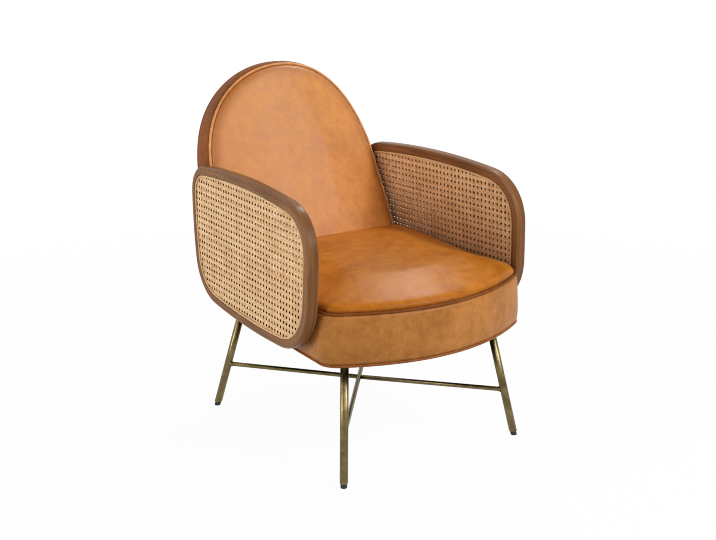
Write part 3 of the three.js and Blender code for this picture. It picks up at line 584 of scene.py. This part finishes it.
def seat_loop(height, rear, inset):
    """The seat's footprint at a height, closed at a rear depth, and where its parts start."""
    front_half, rear_half = seat_side(-SEAT_FRONT, height), seat_side(rear, height)
    corners = [(rear_half, rear), (-rear_half, rear)]
    corners += [(-front_half, -SEAT_FRONT), (front_half, -SEAT_FRONT)]
    lengths = [REAR_CORNER, REAR_CORNER, SEAT_CORNER, SEAT_CORNER]
    outline, starts = bowed_outline(corners, [0, 0, SEAT_BOW, 0], lengths, SEAT_COUNTS)
    return outline - outward(outline) * inset, starts


def seat_edge(height, rear, inset):
    """The open edge from the rear of one side round the front, and its outward directions."""
    outline, starts = seat_loop(height, rear, inset)
    open_part = slice(starts[2], starts[7])
    end = seat_side(rear, height) - inset
    line = np.concatenate([[(-end, rear)], outline[open_part], [(end, rear)]])
    return line, np.concatenate([[(-1, 0)], outward(outline)[open_part], [(1, 0)]])


def boxing_swell(share, bulge, squareness, sewn):
    """How far a boxing stands out at a share of its width. It turns in where it is sewn."""
    aside = abs(2 * share - 1)
    return bulge * (1 - aside**squareness) - sewn * aside**SEWN_IN


def make_seat_band():
    low, high = SEAT_BOTTOM + BAND_LIFT, SEAT_EDGE - PIPING - FIT
    columns = []
    for share in np.linspace(0, 1, BAND_STEPS):
        height = low + (high - low) * share
        line, out = seat_edge(height, seam(height) - FIT, 0)
        distance = travelled(line)[:-1]
        ripple = soft_wave(distance, *BAND_RIPPLE) * math.sin(math.pi * share) ** 0.5
        tuck = soft_wave(distance, *BAND_TUCK) * abs(2 * share - 1) ** 3
        proud = boxing_swell(share, BAND_BULGE, *BAND_SWELL) + ripple + tuck
        columns.append(raised(line + out * proud[:, None], height))
    for height in (high, low):
        line, _ = seat_edge(height, seam(height) - FIT, BAND)
        columns.append(raised(line, height))
    swept("leather_seat_boxing", "seat_band", np.stack(columns, 1), boxing)


def make_seat_piping():
    """The seat's two pipings. Gives the line of the upper one, along which the cushion is sewn."""
    line, out = seat_edge(SEAT_EDGE, back_edge(SEAT_EDGE) - PIPING - FIT, PIPING)
    top = raised(line, SEAT_EDGE)
    # Painted shade: the top piping has the darker copy of the piping leather.
    tube("piping_seat_top", "seat_piping_top", top, raised(out, 0), PIPING, shaded_cord)
    loop, _ = seat_loop(BOTTOM_PIPING, back_rear(BOTTOM_PIPING), PIPING)
    line, out = raised(loop, BOTTOM_PIPING), raised(outward(loop), 0)
    tube("piping_seat_bottom", "seat_piping_bottom", line, out, PIPING, cord, loop=True)
    return top


def seat_cushion_rings(rise):
    rear = back_edge(SEAT_EDGE) - PIPING - FIT
    edge, _ = seat_loop(SEAT_EDGE, rear, 0)
    reach_edge, _ = seat_loop(SEAT_EDGE, rear + CROWN_REACH, 0)
    centre = np.array([0, (rear - SEAT_FRONT - SEAT_BOW) / 2])
    reach = np.linalg.norm(edge - centre, axis=1) / np.linalg.norm(reach_edge - centre, axis=1)
    out = outward(edge)
    top = SEAT_EDGE + PIPING
    lip_inset, lip_rise = CUSHION_LIP
    rings = [
        raised(edge - out * BESIDE_PIPING, CORE_TOP + FIT),
        raised(edge - out * BESIDE_PIPING, SEAT_EDGE + CUSHION_SIDE),
        raised(edge - out * (PIPING + lip_inset), top + lip_rise),
    ]
    for share in np.sin(np.linspace(math.asin(DOME_EDGE), DOME_TIP, DOME_RINGS)):
        height = top + rise * crown(share * reach)
        rings.append(np.column_stack([centre + (edge - centre) * share, height]))
    return rings


# Back


def back_stations(start):
    """Places up one half of the back's edge to the middle of its top, and their outward sides."""
    count = max(3, int((ARCH_BASE - start) / STATION_STEP))
    straight = np.linspace(start, ARCH_BASE, count, endpoint=False)
    x = [*back_half(straight)]
    z = [*straight]
    out = [(1.0, 0.0)] * len(straight)
    for turn in np.linspace(0, math.pi / 2, ARCH_STEPS):
        across = max(0.0, math.cos(turn)) ** (2 / ARCH_POWER)
        up = math.sin(turn) ** (2 / ARCH_POWER)
        x.append(BACK_HALF * across)
        z.append(ARCH_BASE + ARCH_HEIGHT * up)
        sideways = across ** (ARCH_POWER - 1) / BACK_HALF
        upward = up ** (ARCH_POWER - 1) / ARCH_HEIGHT
        out.append(unit((sideways, upward)))
    x[-1] = 0.0
    out[-1] = (0.0, 1.0)
    return np.array(x), np.array(z), np.array(out)


def whole_back_edge(start, inset, depth):
    """The back's edge from one foot over the top to the other, and its outward directions."""
    x, z, out = back_stations(start)
    height = z - inset * out[:, 1]
    across = np.maximum(0, x - inset * out[:, 0])
    half = np.column_stack([across, depth(height), height])
    flat = np.column_stack([out[:, 0], np.zeros(len(out)), out[:, 1]])
    mirror = [-1, 1, 1]
    return [np.concatenate([side, side[:-1][::-1] * mirror]) for side in (half, flat)]


def back_layer(start, profile, front, rear, columns):
    """Rings of a layer of the back, from its side profile and its front and rear faces."""
    shares = np.sin(np.linspace(1, -1, columns) * (math.pi / 2 - FACE_MARGIN))

    def across(edge, face, order):
        return [(share * edge[0], float(face(share, edge[2])), edge[2]) for share in order]

    rings = []
    for x, z, (sideways, upward) in zip(*back_stations(start)):
        side = []
        for inset, depth in profile:
            height = z - inset * upward
            side.append((max(0.0, x - inset * sideways), float(depth(height)), height))
        side = np.array(side)
        front_row = across(side[-1], front, shares)
        rear_row = across(side[0], rear, shares[::-1])
        rings.append(np.concatenate([side, front_row, side[::-1] * [-1, 1, 1], rear_row]))
    return rings


def back_cushion_rings(rise):
    inside = BACK_BAND + FIT
    profile = [
        (inside + PIPING, cushion_rear),
        (inside, lambda z: cushion_rear(z) - PIPING),
        (inside, lambda z: (cushion_rear(z) + back_edge(z)) / 2),
        (inside, lambda z: back_edge(z) + PIPING + LAYER_GAP + FIT),
        (BESIDE_PIPING, lambda z: back_edge(z) + PIPING - FIT),
        (BESIDE_PIPING, lambda z: back_edge(z) - PIPING / 2),
    ]

    def front(share, height):
        return back_front(share, height, rise)

    return back_layer(CORE_TOP + FIT, profile, front, lambda _, z: cushion_rear(z), FACE_COLUMNS)


def make_back_band():
    def depth_at(share):
        def depth(height):
            front = np.where(height < SEAT_EDGE, seam(height), back_edge(height) + PIPING + FIT)
            rear = back_rear(height) - 2 * REAR_PIPING - FIT
            return front + (rear - front) * share

        return depth

    low = SEAT_BOTTOM + BAND_LIFT
    columns = []
    for share in np.linspace(0, 1, BACK_BAND_STEPS):
        line, out = whole_back_edge(low, 0, depth_at(share))
        ripple = soft_wave(travelled(line)[:-1], *BACK_RIPPLE) * math.sin(math.pi * share)
        proud = boxing_swell(share, BACK_BAND_BULGE, *BACK_BAND_SWELL) + ripple
        columns.append(line + out * proud[:, None])
    for share in (1, 0):
        line, _ = whole_back_edge(low, BACK_BAND, depth_at(share))
        columns.append(line)
    swept("leather_back_boxing", "back_band", np.stack(columns, 1), back_boxing)


def make_back_piping():
    """The back's two pipings. Gives the line of the front one, where the cushion is sewn."""
    line, out = whole_back_edge(SEAT_EDGE + 2 * PIPING, PIPING, back_edge)
    # Painted highlight: the front piping has the lighter copy of the piping leather.
    tube("piping_back_front", "back_piping_front", line, out, PIPING, highlit_cord)
    start = SEAT_BOTTOM + PIPING
    rear, out = whole_back_edge(start, REAR_PIPING, lambda z: back_rear(z) - REAR_PIPING)
    tube("piping_back_rear", "back_piping_rear", rear, out, REAR_PIPING, cord)
    return line


def make_back_panel():
    inside = 2 * REAR_PIPING + LAYER_GAP + FIT

    def front(height):
        return back_rear(height) - PANEL - PANEL_OVERHANG + FIT

    def dome(share, height):
        return back_rear(height) + PANEL_DOME * back_crown(share, height)

    profile = [
        (inside + PANEL_DOME, back_rear),
        (inside + PANEL_EDGE, lambda z: back_rear(z) - PANEL_EDGE),
        (inside, lambda z: back_rear(z) - REAR_PIPING / 2),
        (inside, front),
    ]
    rings = back_layer(SEAT_BOTTOM, profile, lambda _, z: front(z), dome, PANEL_COLUMNS)
    piece("leather_back_panel", "back_panel", *closed_body(rings, caps=1), back_leather)


# Cushions

VOXEL = 5.0
SWELL, SWELL_LIMIT = 3.0, 7.0  # how much of a crown the cloth makes, and how far it may move
CLOTH_FRAMES = 18
CLOTH = {
    "quality": 5,
    "mass": 0.3,
    "tension_stiffness": 18,
    "compression_stiffness": 4,
    "shear_stiffness": 4,
    "bending_stiffness": 14,
    "use_pressure": True,
    "uniform_pressure_force": 3.5,
}
TAUT_ROUNDS = 70  # of averaging, which takes the puckers out of the cloth
# Distances from the seam, of the held edge, of the folds beside it and of the broad unevenness
HELD_TO, FREE_FROM = 6, 16
GATHER_AT, GATHER_WIDTH = 10, 11
BROAD_FROM, BROAD_FULL = 15, 60
HIDDEN_FOOT, HIDDEN_UNDER = 6.0, 4.0  # of the back cushion, and of the seat's under the back


def as_shown(made):
    """A new mesh of the piece as its modifiers shape it."""
    graph = bpy.context.evaluated_depsgraph_get()
    return bpy.data.meshes.new_from_object(made.evaluated_get(graph))


def modified(made, kind, **settings):
    """Applies a modifier to the piece's mesh."""
    modifier = made.modifiers.new(kind, kind)
    for key, value in settings.items():
        setattr(modifier, key, value)
    old, made.data = made.data, as_shown(made)
    made.modifiers.clear()
    bpy.data.meshes.remove(old)


def at_vertices(mesh, kind):
    values = np.empty(len(mesh.vertices) * 3)
    mesh.vertices.foreach_get(kind, values)
    return values.reshape(-1, 3)


def set_coordinates(mesh, values):
    mesh.vertices.foreach_set("co", np.asarray(values, float).ravel())
    mesh.update()


def seam_distance(points, line):
    """Distance of each point to a seam, and how far along the seam the nearest place is."""
    tree = KDTree(len(line))
    for i, place in enumerate(placed(line)):
        tree.insert(place, i)
    tree.balance()
    along = travelled(line)
    found = [tree.find(p) for p in points]
    return np.array([f[2] for f in found]) / MM, np.array([along[f[1]] for f in found])


def evened(mesh, values, rounds):
    """Values at the mesh's vertices, averaged with those of their neighbours a number of times."""
    ends = np.empty(len(mesh.edges) * 2, int)
    mesh.edges.foreach_get("vertices", ends)
    first, second = ends.reshape(-1, 2).T
    neighbours = np.bincount(ends, minlength=len(values))[:, None]
    for _ in range(rounds):
        total = np.zeros_like(values)
        np.add.at(total, first, values[second])
        np.add.at(total, second, values[first])
        values = (values + total / neighbours) / 2
    return values


def inflated(made, held):
    """Blows the piece up as taut cloth. held is 1 where a point stays and 0 where it is free."""
    pins = made.vertex_groups.new(name="held")
    for index in np.nonzero(held > 0)[0]:
        pins.add([int(index)], float(held[index]), "REPLACE")
    cloth = made.modifiers.new("cloth", "CLOTH")
    for key, value in CLOTH.items():
        setattr(cloth.settings, key, value)
    cloth.settings.vertex_group_mass = pins.name
    cloth.settings.effector_weights.gravity = 0
    cloth.collision_settings.use_collision = False
    cloth.point_cache.frame_start, cloth.point_cache.frame_end = 1, CLOTH_FRAMES
    start = at_vertices(made.data, "co")
    for step in range(1, CLOTH_FRAMES + 1):
        scene.frame_set(step)
    shaped = as_shown(made)
    moved = at_vertices(shaped, "co") - start
    bpy.data.meshes.remove(shaped)
    made.modifiers.clear()
    scene.frame_set(1)
    moved = evened(made.data, moved, TAUT_ROUNDS) * (1 - held)[:, None]
    length = np.maximum(np.linalg.norm(moved, axis=1)[:, None], 1e-9)
    set_coordinates(made.data, start + moved * np.minimum(1, SWELL_LIMIT * MM / length))


def creases(points, distance, along):
    """How far each point is raised: small folds beside the seam, and a broad unevenness."""
    beside = np.exp(-(((distance - GATHER_AT) / GATHER_WIDTH) ** 2))
    folds = sum(soft_wave(along, *fold) for fold in FOLDS)
    x, y, z = points.T / MM
    broad = soft_wave(x + 0.6 * z, *BROAD_ACROSS) * soft_wave(y, *BROAD_ALONG)
    return beside * folds + broad * smoothstep(distance, BROAD_FROM, BROAD_FULL)


def make_cushion(name, node, body, material, seams, seam_shade_width, hidden, clear=None):
    """A cushion of finer mesh, held where hidden says and kept clear of what lies beside it."""
    made = piece(name, node, *body, material)
    modified(made, "REMESH", mode="VOXEL", voxel_size=VOXEL * MM)
    modified(made, "SMOOTH", factor=0.5, iterations=4)
    made.data.materials.clear()
    made.data.materials.append(material)
    rest = at_vertices(made.data, "co")
    distance, _ = seam_distance(rest, seams)
    held = 1 - smoothstep(distance, HELD_TO, FREE_FROM)
    inflated(made, np.maximum(held, hidden(rest)))
    modified(made, "SMOOTH", factor=0.5, iterations=5)
    shape = at_vertices(made.data, "co")
    distance, along = seam_distance(shape, seams)
    raise_by = creases(shape, distance, along) * MM
    shape += at_vertices(made.data, "normal") * raise_by[:, None]
    set_coordinates(made.data, clear(shape) if clear else shape)
    made.data.shade_smooth()
    # The seam attribute paints shade: 1 at the seam, fading to 0 over the given width.
    marked(made, "seam", 1 - smoothstep(distance, PIPING, seam_shade_width))
    detail = made.modifiers.new("detail", "SUBSURF")
    detail.levels = detail.render_levels = 1


def back_front_at(points):
    """Depth of the back cushion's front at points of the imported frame, in metres."""
    height = points[:, 2] / MM
    half = back_half(height) - BESIDE_PIPING
    return back_front(points[:, 0] / MM / half, height) * MM + base_y


def make_cushions(seat_seam, back_seam):
    swell = SWELL

    def seat_hidden(points):
        low = points[:, 2] < (SEAT_EDGE + CUSHION_SIDE) * MM
        under = points[:, 1] > back_front_at(points) - HIDDEN_UNDER * MM
        return (low | under).astype(float)

    def seat_clear(points):
        x, y, z = points.T
        y = np.minimum(y, back_front_at(points) - LAYER_GAP * MM)
        return np.column_stack([x, y, np.maximum(z, (CORE_TOP + FIT) * MM)])

    def back_hidden(points):
        height = points[:, 2] / MM
        behind = points[:, 1] > back_edge(height) * MM + base_y
        return (behind | (height < CORE_TOP + HIDDEN_FOOT)).astype(float)

    # The back's band of painted shade along its seams is wider than the seat's.
    make_cushion(
        "cushion_seat",
        "seat_cushion",
        closed_body(seat_cushion_rings(SEAT_CROWN - swell)),
        seat_leather,
        seat_seam,
        seam_shade_width=20,
        hidden=seat_hidden,
        clear=seat_clear,
    )
    make_cushion(
        "cushion_back",
        "back_cushion",
        closed_body(back_cushion_rings(BACK_CROWN - swell), caps=1),
        back_leather,
        back_seam,
        seam_shade_width=42,
        hidden=back_hidden,
    )


# Arms

arm_outline, _ = bowed_outline(ARM_CORNERS, ARM_BOWS, ARM_CORNER_LENGTHS, ARM_COUNTS)
arm_out = outward(arm_outline)
FRAME_LIP = 0.9  # rounding of the wood beside the cane
FRAME_BULGE = 0.3  # of the wood's outer side
REED_SHOULDER, REED_CROWN = 0.7, 1.2


def arm_place(side, points):
    """Points of an arm's own frame (across, along, up) in the chair's layout."""
    sign = SIDES[side]
    turn = Matrix.Rotation(sign * ARM_TOE, 3, "Z") @ Matrix.Rotation(-sign * ARM_LEAN, 3, "Y")
    return np.asarray(points, float) @ np.array(turn).T + [sign * ARM_HALF, 0, ARM_HEIGHT]


def arm_sweep(name, node, side, section, material):
    """A section of (out from the cane, across the arm) pairs, swept round the arm's outline."""
    section = np.array(section, float)
    line = arm_outline[:, None] + arm_out[:, None] * section[None, :, :1]
    across = np.broadcast_to(section[None, :, 1], line.shape[:2])
    points = np.stack([across, line[..., 0], line[..., 1] - ARM_HEIGHT], -1)
    rings = arm_place(side, points.reshape(-1, 3)).reshape(points.shape)
    return swept(name, node, rings, material, loop=True)


def mark_grain(made, section):
    """Notes how far along the bend and where in the section each face's corners lie."""
    mesh = made.data
    corners = np.empty(len(mesh.loops), np.int32)
    mesh.loops.foreach_get("vertex_index", corners)
    row, column = np.divmod(corners, len(section))
    row_of_face = np.arange(len(corners)) // 4 // len(section)
    closing = (row_of_face == len(arm_outline) - 1) & (row == 0)
    along = travelled(arm_outline)[np.where(closing, len(arm_outline), row)]
    grain = np.column_stack([along, np.array(section)[column]]) * MM
    attribute = mesh.attributes.new("grain", "FLOAT_VECTOR", "CORNER")
    attribute.data.foreach_set("vector", grain.astype(np.float32).ravel())


def make_arm_frame(side):
    half = ARM_THICK / 2
    floor = half - REBATE_DEPTH
    lip = FRAME_LIP
    upper = [
        (-REBATE, floor),
        (0, floor),
        (0, half - lip),
        (lip * 0.3, half - lip * 0.3),
        (lip, half),
        ((ARM_FACE - ARM_ROUND + lip) / 2, half),
    ]
    for turn in np.linspace(math.pi / 2, 0, 8):
        out = ARM_FACE - ARM_ROUND * (1 - math.cos(turn))
        upper.append((out, half - ARM_ROUND * (1 - math.sin(turn))))
    lower = [(out, -across) for out, across in upper[::-1]]
    section = [*upper, (ARM_FACE + FRAME_BULGE, 0), *lower]
    made = arm_sweep(f"wood_arm_{side}", f"arm_frame_{side}", side, section, wood)
    mark_grain(made, section)


def make_spline(side, face, place):
    low = ARM_THICK / 2 - REBATE_DEPTH + CANE + 2 * FIT
    shoulder = ARM_THICK / 2 - REED_SHOULDER
    inner, outer = -REBATE + CANE_GAP, -CANE_GAP
    centre, half = (inner + outer) / 2, (outer - inner) / 2
    section = [(inner, low), (outer, low)]
    for turn in np.linspace(0, math.pi, 9):
        section.append((centre + half * math.cos(turn), shoulder + REED_CROWN * math.sin(turn)))
    section = [(out, face * across) for out, across in section]
    name, node = f"reed_{place}_{side}", f"cane_spline_{place}_{side}"
    made = arm_sweep(name, node, side, section, reed)
    marked(made, "strand", np.full(len(made.data.vertices), 0.5))


# The weave: pairs of strands upright and level, and one strand in each diagonal
PITCH = (13.0, 14.2)
PAIR_GAP = 0.15  # of the pitch, from the middle of a pair to each strand
STRAND_WIDTH, DIAGONAL_WIDTH, STRAND_THICK = 3.5, 2.8, 0.3
PAIR_SWING, DIAGONAL_SWING = 0.2, 0.3  # in and out of the sheet
RIBBON = ((-1, -0.12), (0, 0.12), (1, -0.12))  # a strand's edges and middle, and their rise
CANE_INSET = 3.0  # of the strands' ends from the wood, under the spline
# Where each sheet's grid lies in its arm. Two sheets of an arm line up only in places.
GRID_SHIFT = {
    "outer_right": (1.8, 0.2),
    "inner_right": (0.8, 0.2),
    "inner_left": (1.4, 0.0),
    "outer_left": (4.6, 0.9),
}


def strand_lines(columns, rows):
    """The strands of a sheet before they are cut to its outline.

    Each has a place, a direction, the distance between two crossings, its swing, its width and
    the share of a swing at which it starts.
    """
    across, up = PITCH
    for i in range(-columns, columns + 1):
        for pair in (-1, 1):
            place = ((i + pair * PAIR_GAP) * across, 0.0)
            yield place, (0.0, 1.0), up, pair * PAIR_SWING, STRAND_WIDTH, 0.5
    for j in range(-rows, rows + 1):
        for pair in (-1, 1):
            place = (0.0, (j + pair * PAIR_GAP) * up)
            yield place, (1.0, 0.0), across, pair * PAIR_SWING, STRAND_WIDTH, 0.5
    diagonal = math.hypot(across, up)
    for n in range(-columns - rows, columns + rows):
        for lean in (-1, 1):
            place = ((n + 0.5) * across, 0.0)
            direction = (across / diagonal, lean * up / diagonal)
            yield place, direction, diagonal / 2, lean * DIAGONAL_SWING, DIAGONAL_WIDTH, 0.25


def chord(start, direction, border):
    """Where a line enters and leaves the border, as two distances, or None."""
    offset = border - start
    side = direction[0] * offset[:, 1] - direction[1] * offset[:, 0]
    after = np.roll(side, -1)
    crossing = np.nonzero((side > 0) != (after > 0))[0]
    if len(crossing) < 2:
        return None
    share = side[crossing] / (side[crossing] - after[crossing])
    hits = offset[crossing] + (np.roll(offset, -1, 0)[crossing] - offset[crossing]) * share[:, None]
    distances = hits @ direction
    return distances.min(), distances.max()


def make_cane(side, face, place):
    """A sheet of cane. Each strand is a ribbon with a darker one behind it, its inner side, whose
    darker colour is painted shade between the two sheets.
    """
    border = arm_outline - arm_out * CANE_INSET
    low, high = border.min(0), border.max(0)
    centre = (low + high) / 2 + GRID_SHIFT[f"{place}_{side}"]
    columns, rows = ((high - low) / PITCH / 2).astype(int) + 2
    level = ARM_THICK / 2 - REBATE_DEPTH + FIT + CANE / 2
    points, faces, strands, inward = [], [], [], []
    count = 0
    for offset, direction, period, swing, width, phase in strand_lines(columns, rows):
        start, direction = centre + offset, np.array(direction)
        ends = chord(start, direction, border)
        if ends is None or ends[1] - ends[0] < width:
            continue
        step = period / 4
        first, last = math.ceil(ends[0] / step + 0.2), math.floor(ends[1] / step - 0.2)
        t = np.concatenate([[ends[0]], np.arange(first, last + 1) * step, [ends[1]]])
        spine = start + t[:, None] * direction
        height = swing * np.cos(math.pi * (t / period + phase))
        aside = np.array([-direction[1], direction[0]]) * width / 2
        shade = rng.uniform()
        for behind in (0, STRAND_THICK):
            ribbon = []
            for share, rise in RIBBON:
                along, up = (spine + aside * share).T
                across = face * (level + height + rise - behind)
                ribbon.append(np.column_stack([across, along, up - ARM_HEIGHT]))
            points.append(np.stack(ribbon, 1).reshape(-1, 3))
            faces.append(ring_faces(len(t), len(RIBBON), wrap=False) + count)
            strands.append(np.full(len(points[-1]), shade))
            inward.append(np.full(len(faces[-1]), behind > 0, np.int32))
            count += len(points[-1])
    name, node = f"cane_weave_{place}_{side}", f"cane_{place}_{side}"
    places = arm_place(side, np.concatenate(points))
    made = piece(name, node, places, np.concatenate(faces).tolist(), cane)
    marked(made, "strand", np.concatenate(strands))
    # The inner side's darker colour is painted shade between the sheets.
    made.data.materials.append(cane_inside_painted_shade)
    made.data.polygons.foreach_set("material_index", np.concatenate(inward))


def make_arms():
    for side, sign in SIDES.items():
        make_arm_frame(side)
        for place, face in (("outer", sign), ("inner", -sign)):
            make_spline(side, face, place)
            make_cane(side, face, place)


# Base

LEG_EDGE = 0.8  # rounding at the leg's foot
GLIDE_ROUND = 0.6
WELD_STEPS = np.linspace(0, 1, 7)
WELD_START, WELD_RUN = LEG_RADIUS - 2.5, WELD_LENGTH + 1  # along the rod, from the leg's axis
PLAIN_START = ROD_RADIUS * 0.7  # of a rod that meets another one


def leg_point(end, side, height):
    foot = np.array([SIDES[side] * FOOT_HALF, ENDS[end] * FOOT_DEPTH, 0.0])
    half, depth = LEG_TOP[end]
    top = np.array([SIDES[side] * half, depth, SEAT_BOTTOM])
    return foot + (top - foot) * height / SEAT_BOTTOM


def make_leg(end, side):
    low, high = GLIDE_HEIGHT + FIT, LEG_TOP_HEIGHT
    axis = unit(leg_point(end, side, high) - leg_point(end, side, low))
    around = spokes(axis, (1, 0, 0), ROUND_SIDES)
    rings = []
    profile = (low, LEG_RADIUS - LEG_EDGE), (low + LEG_EDGE, LEG_RADIUS), (high, LEG_RADIUS)
    for height, radius in profile:
        ring = leg_point(end, side, height) + around * radius
        rings.append(ring + axis * ((height - ring[:, 2]) / axis[2])[:, None])
    swept(f"brass_leg_{end}_{side}", f"leg_{end}_{side}", rings, brass_finish)


def make_glide(end, side):
    insets = [(GLIDE_EDGE, 0), (0.4, 0.5), (0, GLIDE_EDGE)]
    insets += [(0, GLIDE_HEIGHT - GLIDE_ROUND), (GLIDE_ROUND, GLIDE_HEIGHT)]
    around = spokes((0, 0, 1), (0, -1, 0), GLIDE_SIDES)
    rings = [leg_point(end, side, z) + around * (GLIDE_RADIUS - inset) for inset, z in insets]
    swept(f"glide_tread_{end}_{side}", f"glide_{end}_{side}", rings, finishes["rubber"])


def make_rod(name, node, start, end, welded_at_end=False):
    """A rod that is welded to a leg at its start, with a fillet round it."""
    length = np.linalg.norm(end - start)
    axis = (end - start) / length
    flare = ROD_RADIUS + (WELD_RADIUS - ROD_RADIUS) * (1 - WELD_STEPS) ** 2
    weld = list(zip(flare, WELD_START + WELD_RUN * WELD_STEPS))
    far_end = weld if welded_at_end else [(ROD_RADIUS, PLAIN_START)]
    profile = weld + [(radius, length - along) for radius, along in far_end[::-1]]
    around = spokes(axis, (0, 0, 1), ROUND_SIDES)
    rings = [start + axis * along + around * radius for radius, along in profile]
    swept(name, node, rings, brass_finish)


def make_base():
    joint = {}
    for end in ENDS:
        for side in SIDES:
            make_leg(end, side)
            make_glide(end, side)
            joint[end, side] = leg_point(end, side, ROD_HEIGHT)
    first, last = joint["front", "right"], joint["rear", "left"]
    make_rod("brass_rod_full", "cross_rod_full", first, last, welded_at_end=True)
    crossing = (first + last) / 2
    make_rod("brass_rod_front", "cross_rod_front_left", joint["front", "left"], crossing)
    make_rod("brass_rod_rear", "cross_rod_rear_right", joint["rear", "right"], crossing)


finish_solids()
make_arms()
make_base()
make_seat_band()
make_back_band()
make_back_panel()
make_cushions(make_seat_piping(), make_back_piping())


# Studio

WHITE = (1, 1, 1, 1)
FLOOR_HALF = 9.0
FLOOR_COLOUR = (0.86, 0.86, 0.86, 1)
FLOOR_GLOW = (0.8, 2.2, 0.96, 1.0)  # from and to a distance from the chair, and the shares there
WORLD_LIGHT = 0.12  # on the chair; the background itself shows white
# Each lamp's place, target, width and height, and power
LAMPS = {
    "left": ((-2.5, 0.3, 1.15), (0, 0, 0.45), (0.9, 0.9), 30),
    "right": ((0.9, -2.3, 1.95), (0, 0, 0.6), (1.4, 1.4), 60),
    "top": ((1.15, 0.7, 2.2), (0, -0.3, 0.4), (0.4, 0.4), 18),
    "rear": ((-1.2, 2.6, 2.0), (0, 0, 0.5), (1.8, 1.6), 13),
    "front": ((-1.2, -2.85, 2.4), (0, 0, 0.5), (0.5, 0.5), 11),
}
# The photograph's camera
LENS, SENSOR = 63.22, 36
CAMERA_PLACE = (-1.5609, -2.2951, 1.19)
CAMERA_RIGHT, CAMERA_AHEAD = (0.8257, -0.5642, -0.0109), (0.5385, 0.7936, -0.2831)
PIXEL_FILTER = 1.0


def make_floor():
    """A pale floor that looks nearly white under the chair and white further off."""
    mesh = bpy.data.meshes.new("floor")
    corners = [(-1, -1), (1, -1), (1, 1), (-1, 1)]
    mesh.from_pydata([(x * FLOOR_HALF, y * FLOOR_HALF, 0) for x, y in corners], [], [(0, 1, 2, 3)])
    floor = added("floor", mesh)
    finish = Finish("floor_pale")
    finish.surface(Base_Color=FLOOR_COLOUR, Roughness=1.0, Specular_IOR_Level=0.0)
    glow = finish.node("Emission", {"Color": WHITE, "Strength": 1.0}).outputs[0]
    away = finish.node("VectorMath", {0: finish.place()}, operation="LENGTH").outputs["Value"]
    share = finish.maths("MULTIPLY", finish.seen(), finish.span(away, *FLOOR_GLOW))
    both = finish.node("MixShader", {0: share, 1: finish.shader.outputs[0], 2: glow})
    finish.fill(finish.tree.nodes["Material Output"], {"Surface": both.outputs[0]})
    mesh.materials.append(finish.material)


def make_lamp(name, place, target, size, power):
    lamp = bpy.data.lights.new(name, "AREA")
    lamp.shape = "RECTANGLE"
    lamp.size, lamp.size_y = size
    lamp.energy = power
    made = added(name, lamp)
    made.location = place
    made.rotation_euler = (Vector(target) - Vector(place)).to_track_quat("-Z", "Y").to_euler()


def make_world():
    """A white background that lights the chair only faintly."""
    world = bpy.data.worlds.new("studio")
    world.use_nodes = True
    scene.world = world
    shader = Nodes(world.node_tree)
    strength = shader.span(shader.seen(), 0.0, 1.0, WORLD_LIGHT, 1.0)
    shader.fill(shader.tree.nodes["Background"], {"Color": WHITE, "Strength": strength})


def make_camera():
    camera = bpy.data.cameras.new("camera")
    camera.sensor_width = SENSOR
    camera.lens = LENS
    made = added("camera", camera)
    right, ahead = Vector(CAMERA_RIGHT).normalized(), Vector(CAMERA_AHEAD).normalized()
    up = right.cross(ahead).normalized()
    turn = Matrix((ahead.cross(up), up, -ahead)).transposed().to_4x4()
    x, y, z = CAMERA_PLACE
    made.matrix_world = Matrix.Translation((x, y + base_y, z)) @ turn
    scene.camera = made


make_floor()
make_world()
for lamp_name, settings in LAMPS.items():
    make_lamp(lamp_name, *settings)
make_camera()
scene.view_settings.view_transform = "Standard"
scene.cycles.filter_width = PIXEL_FILTER
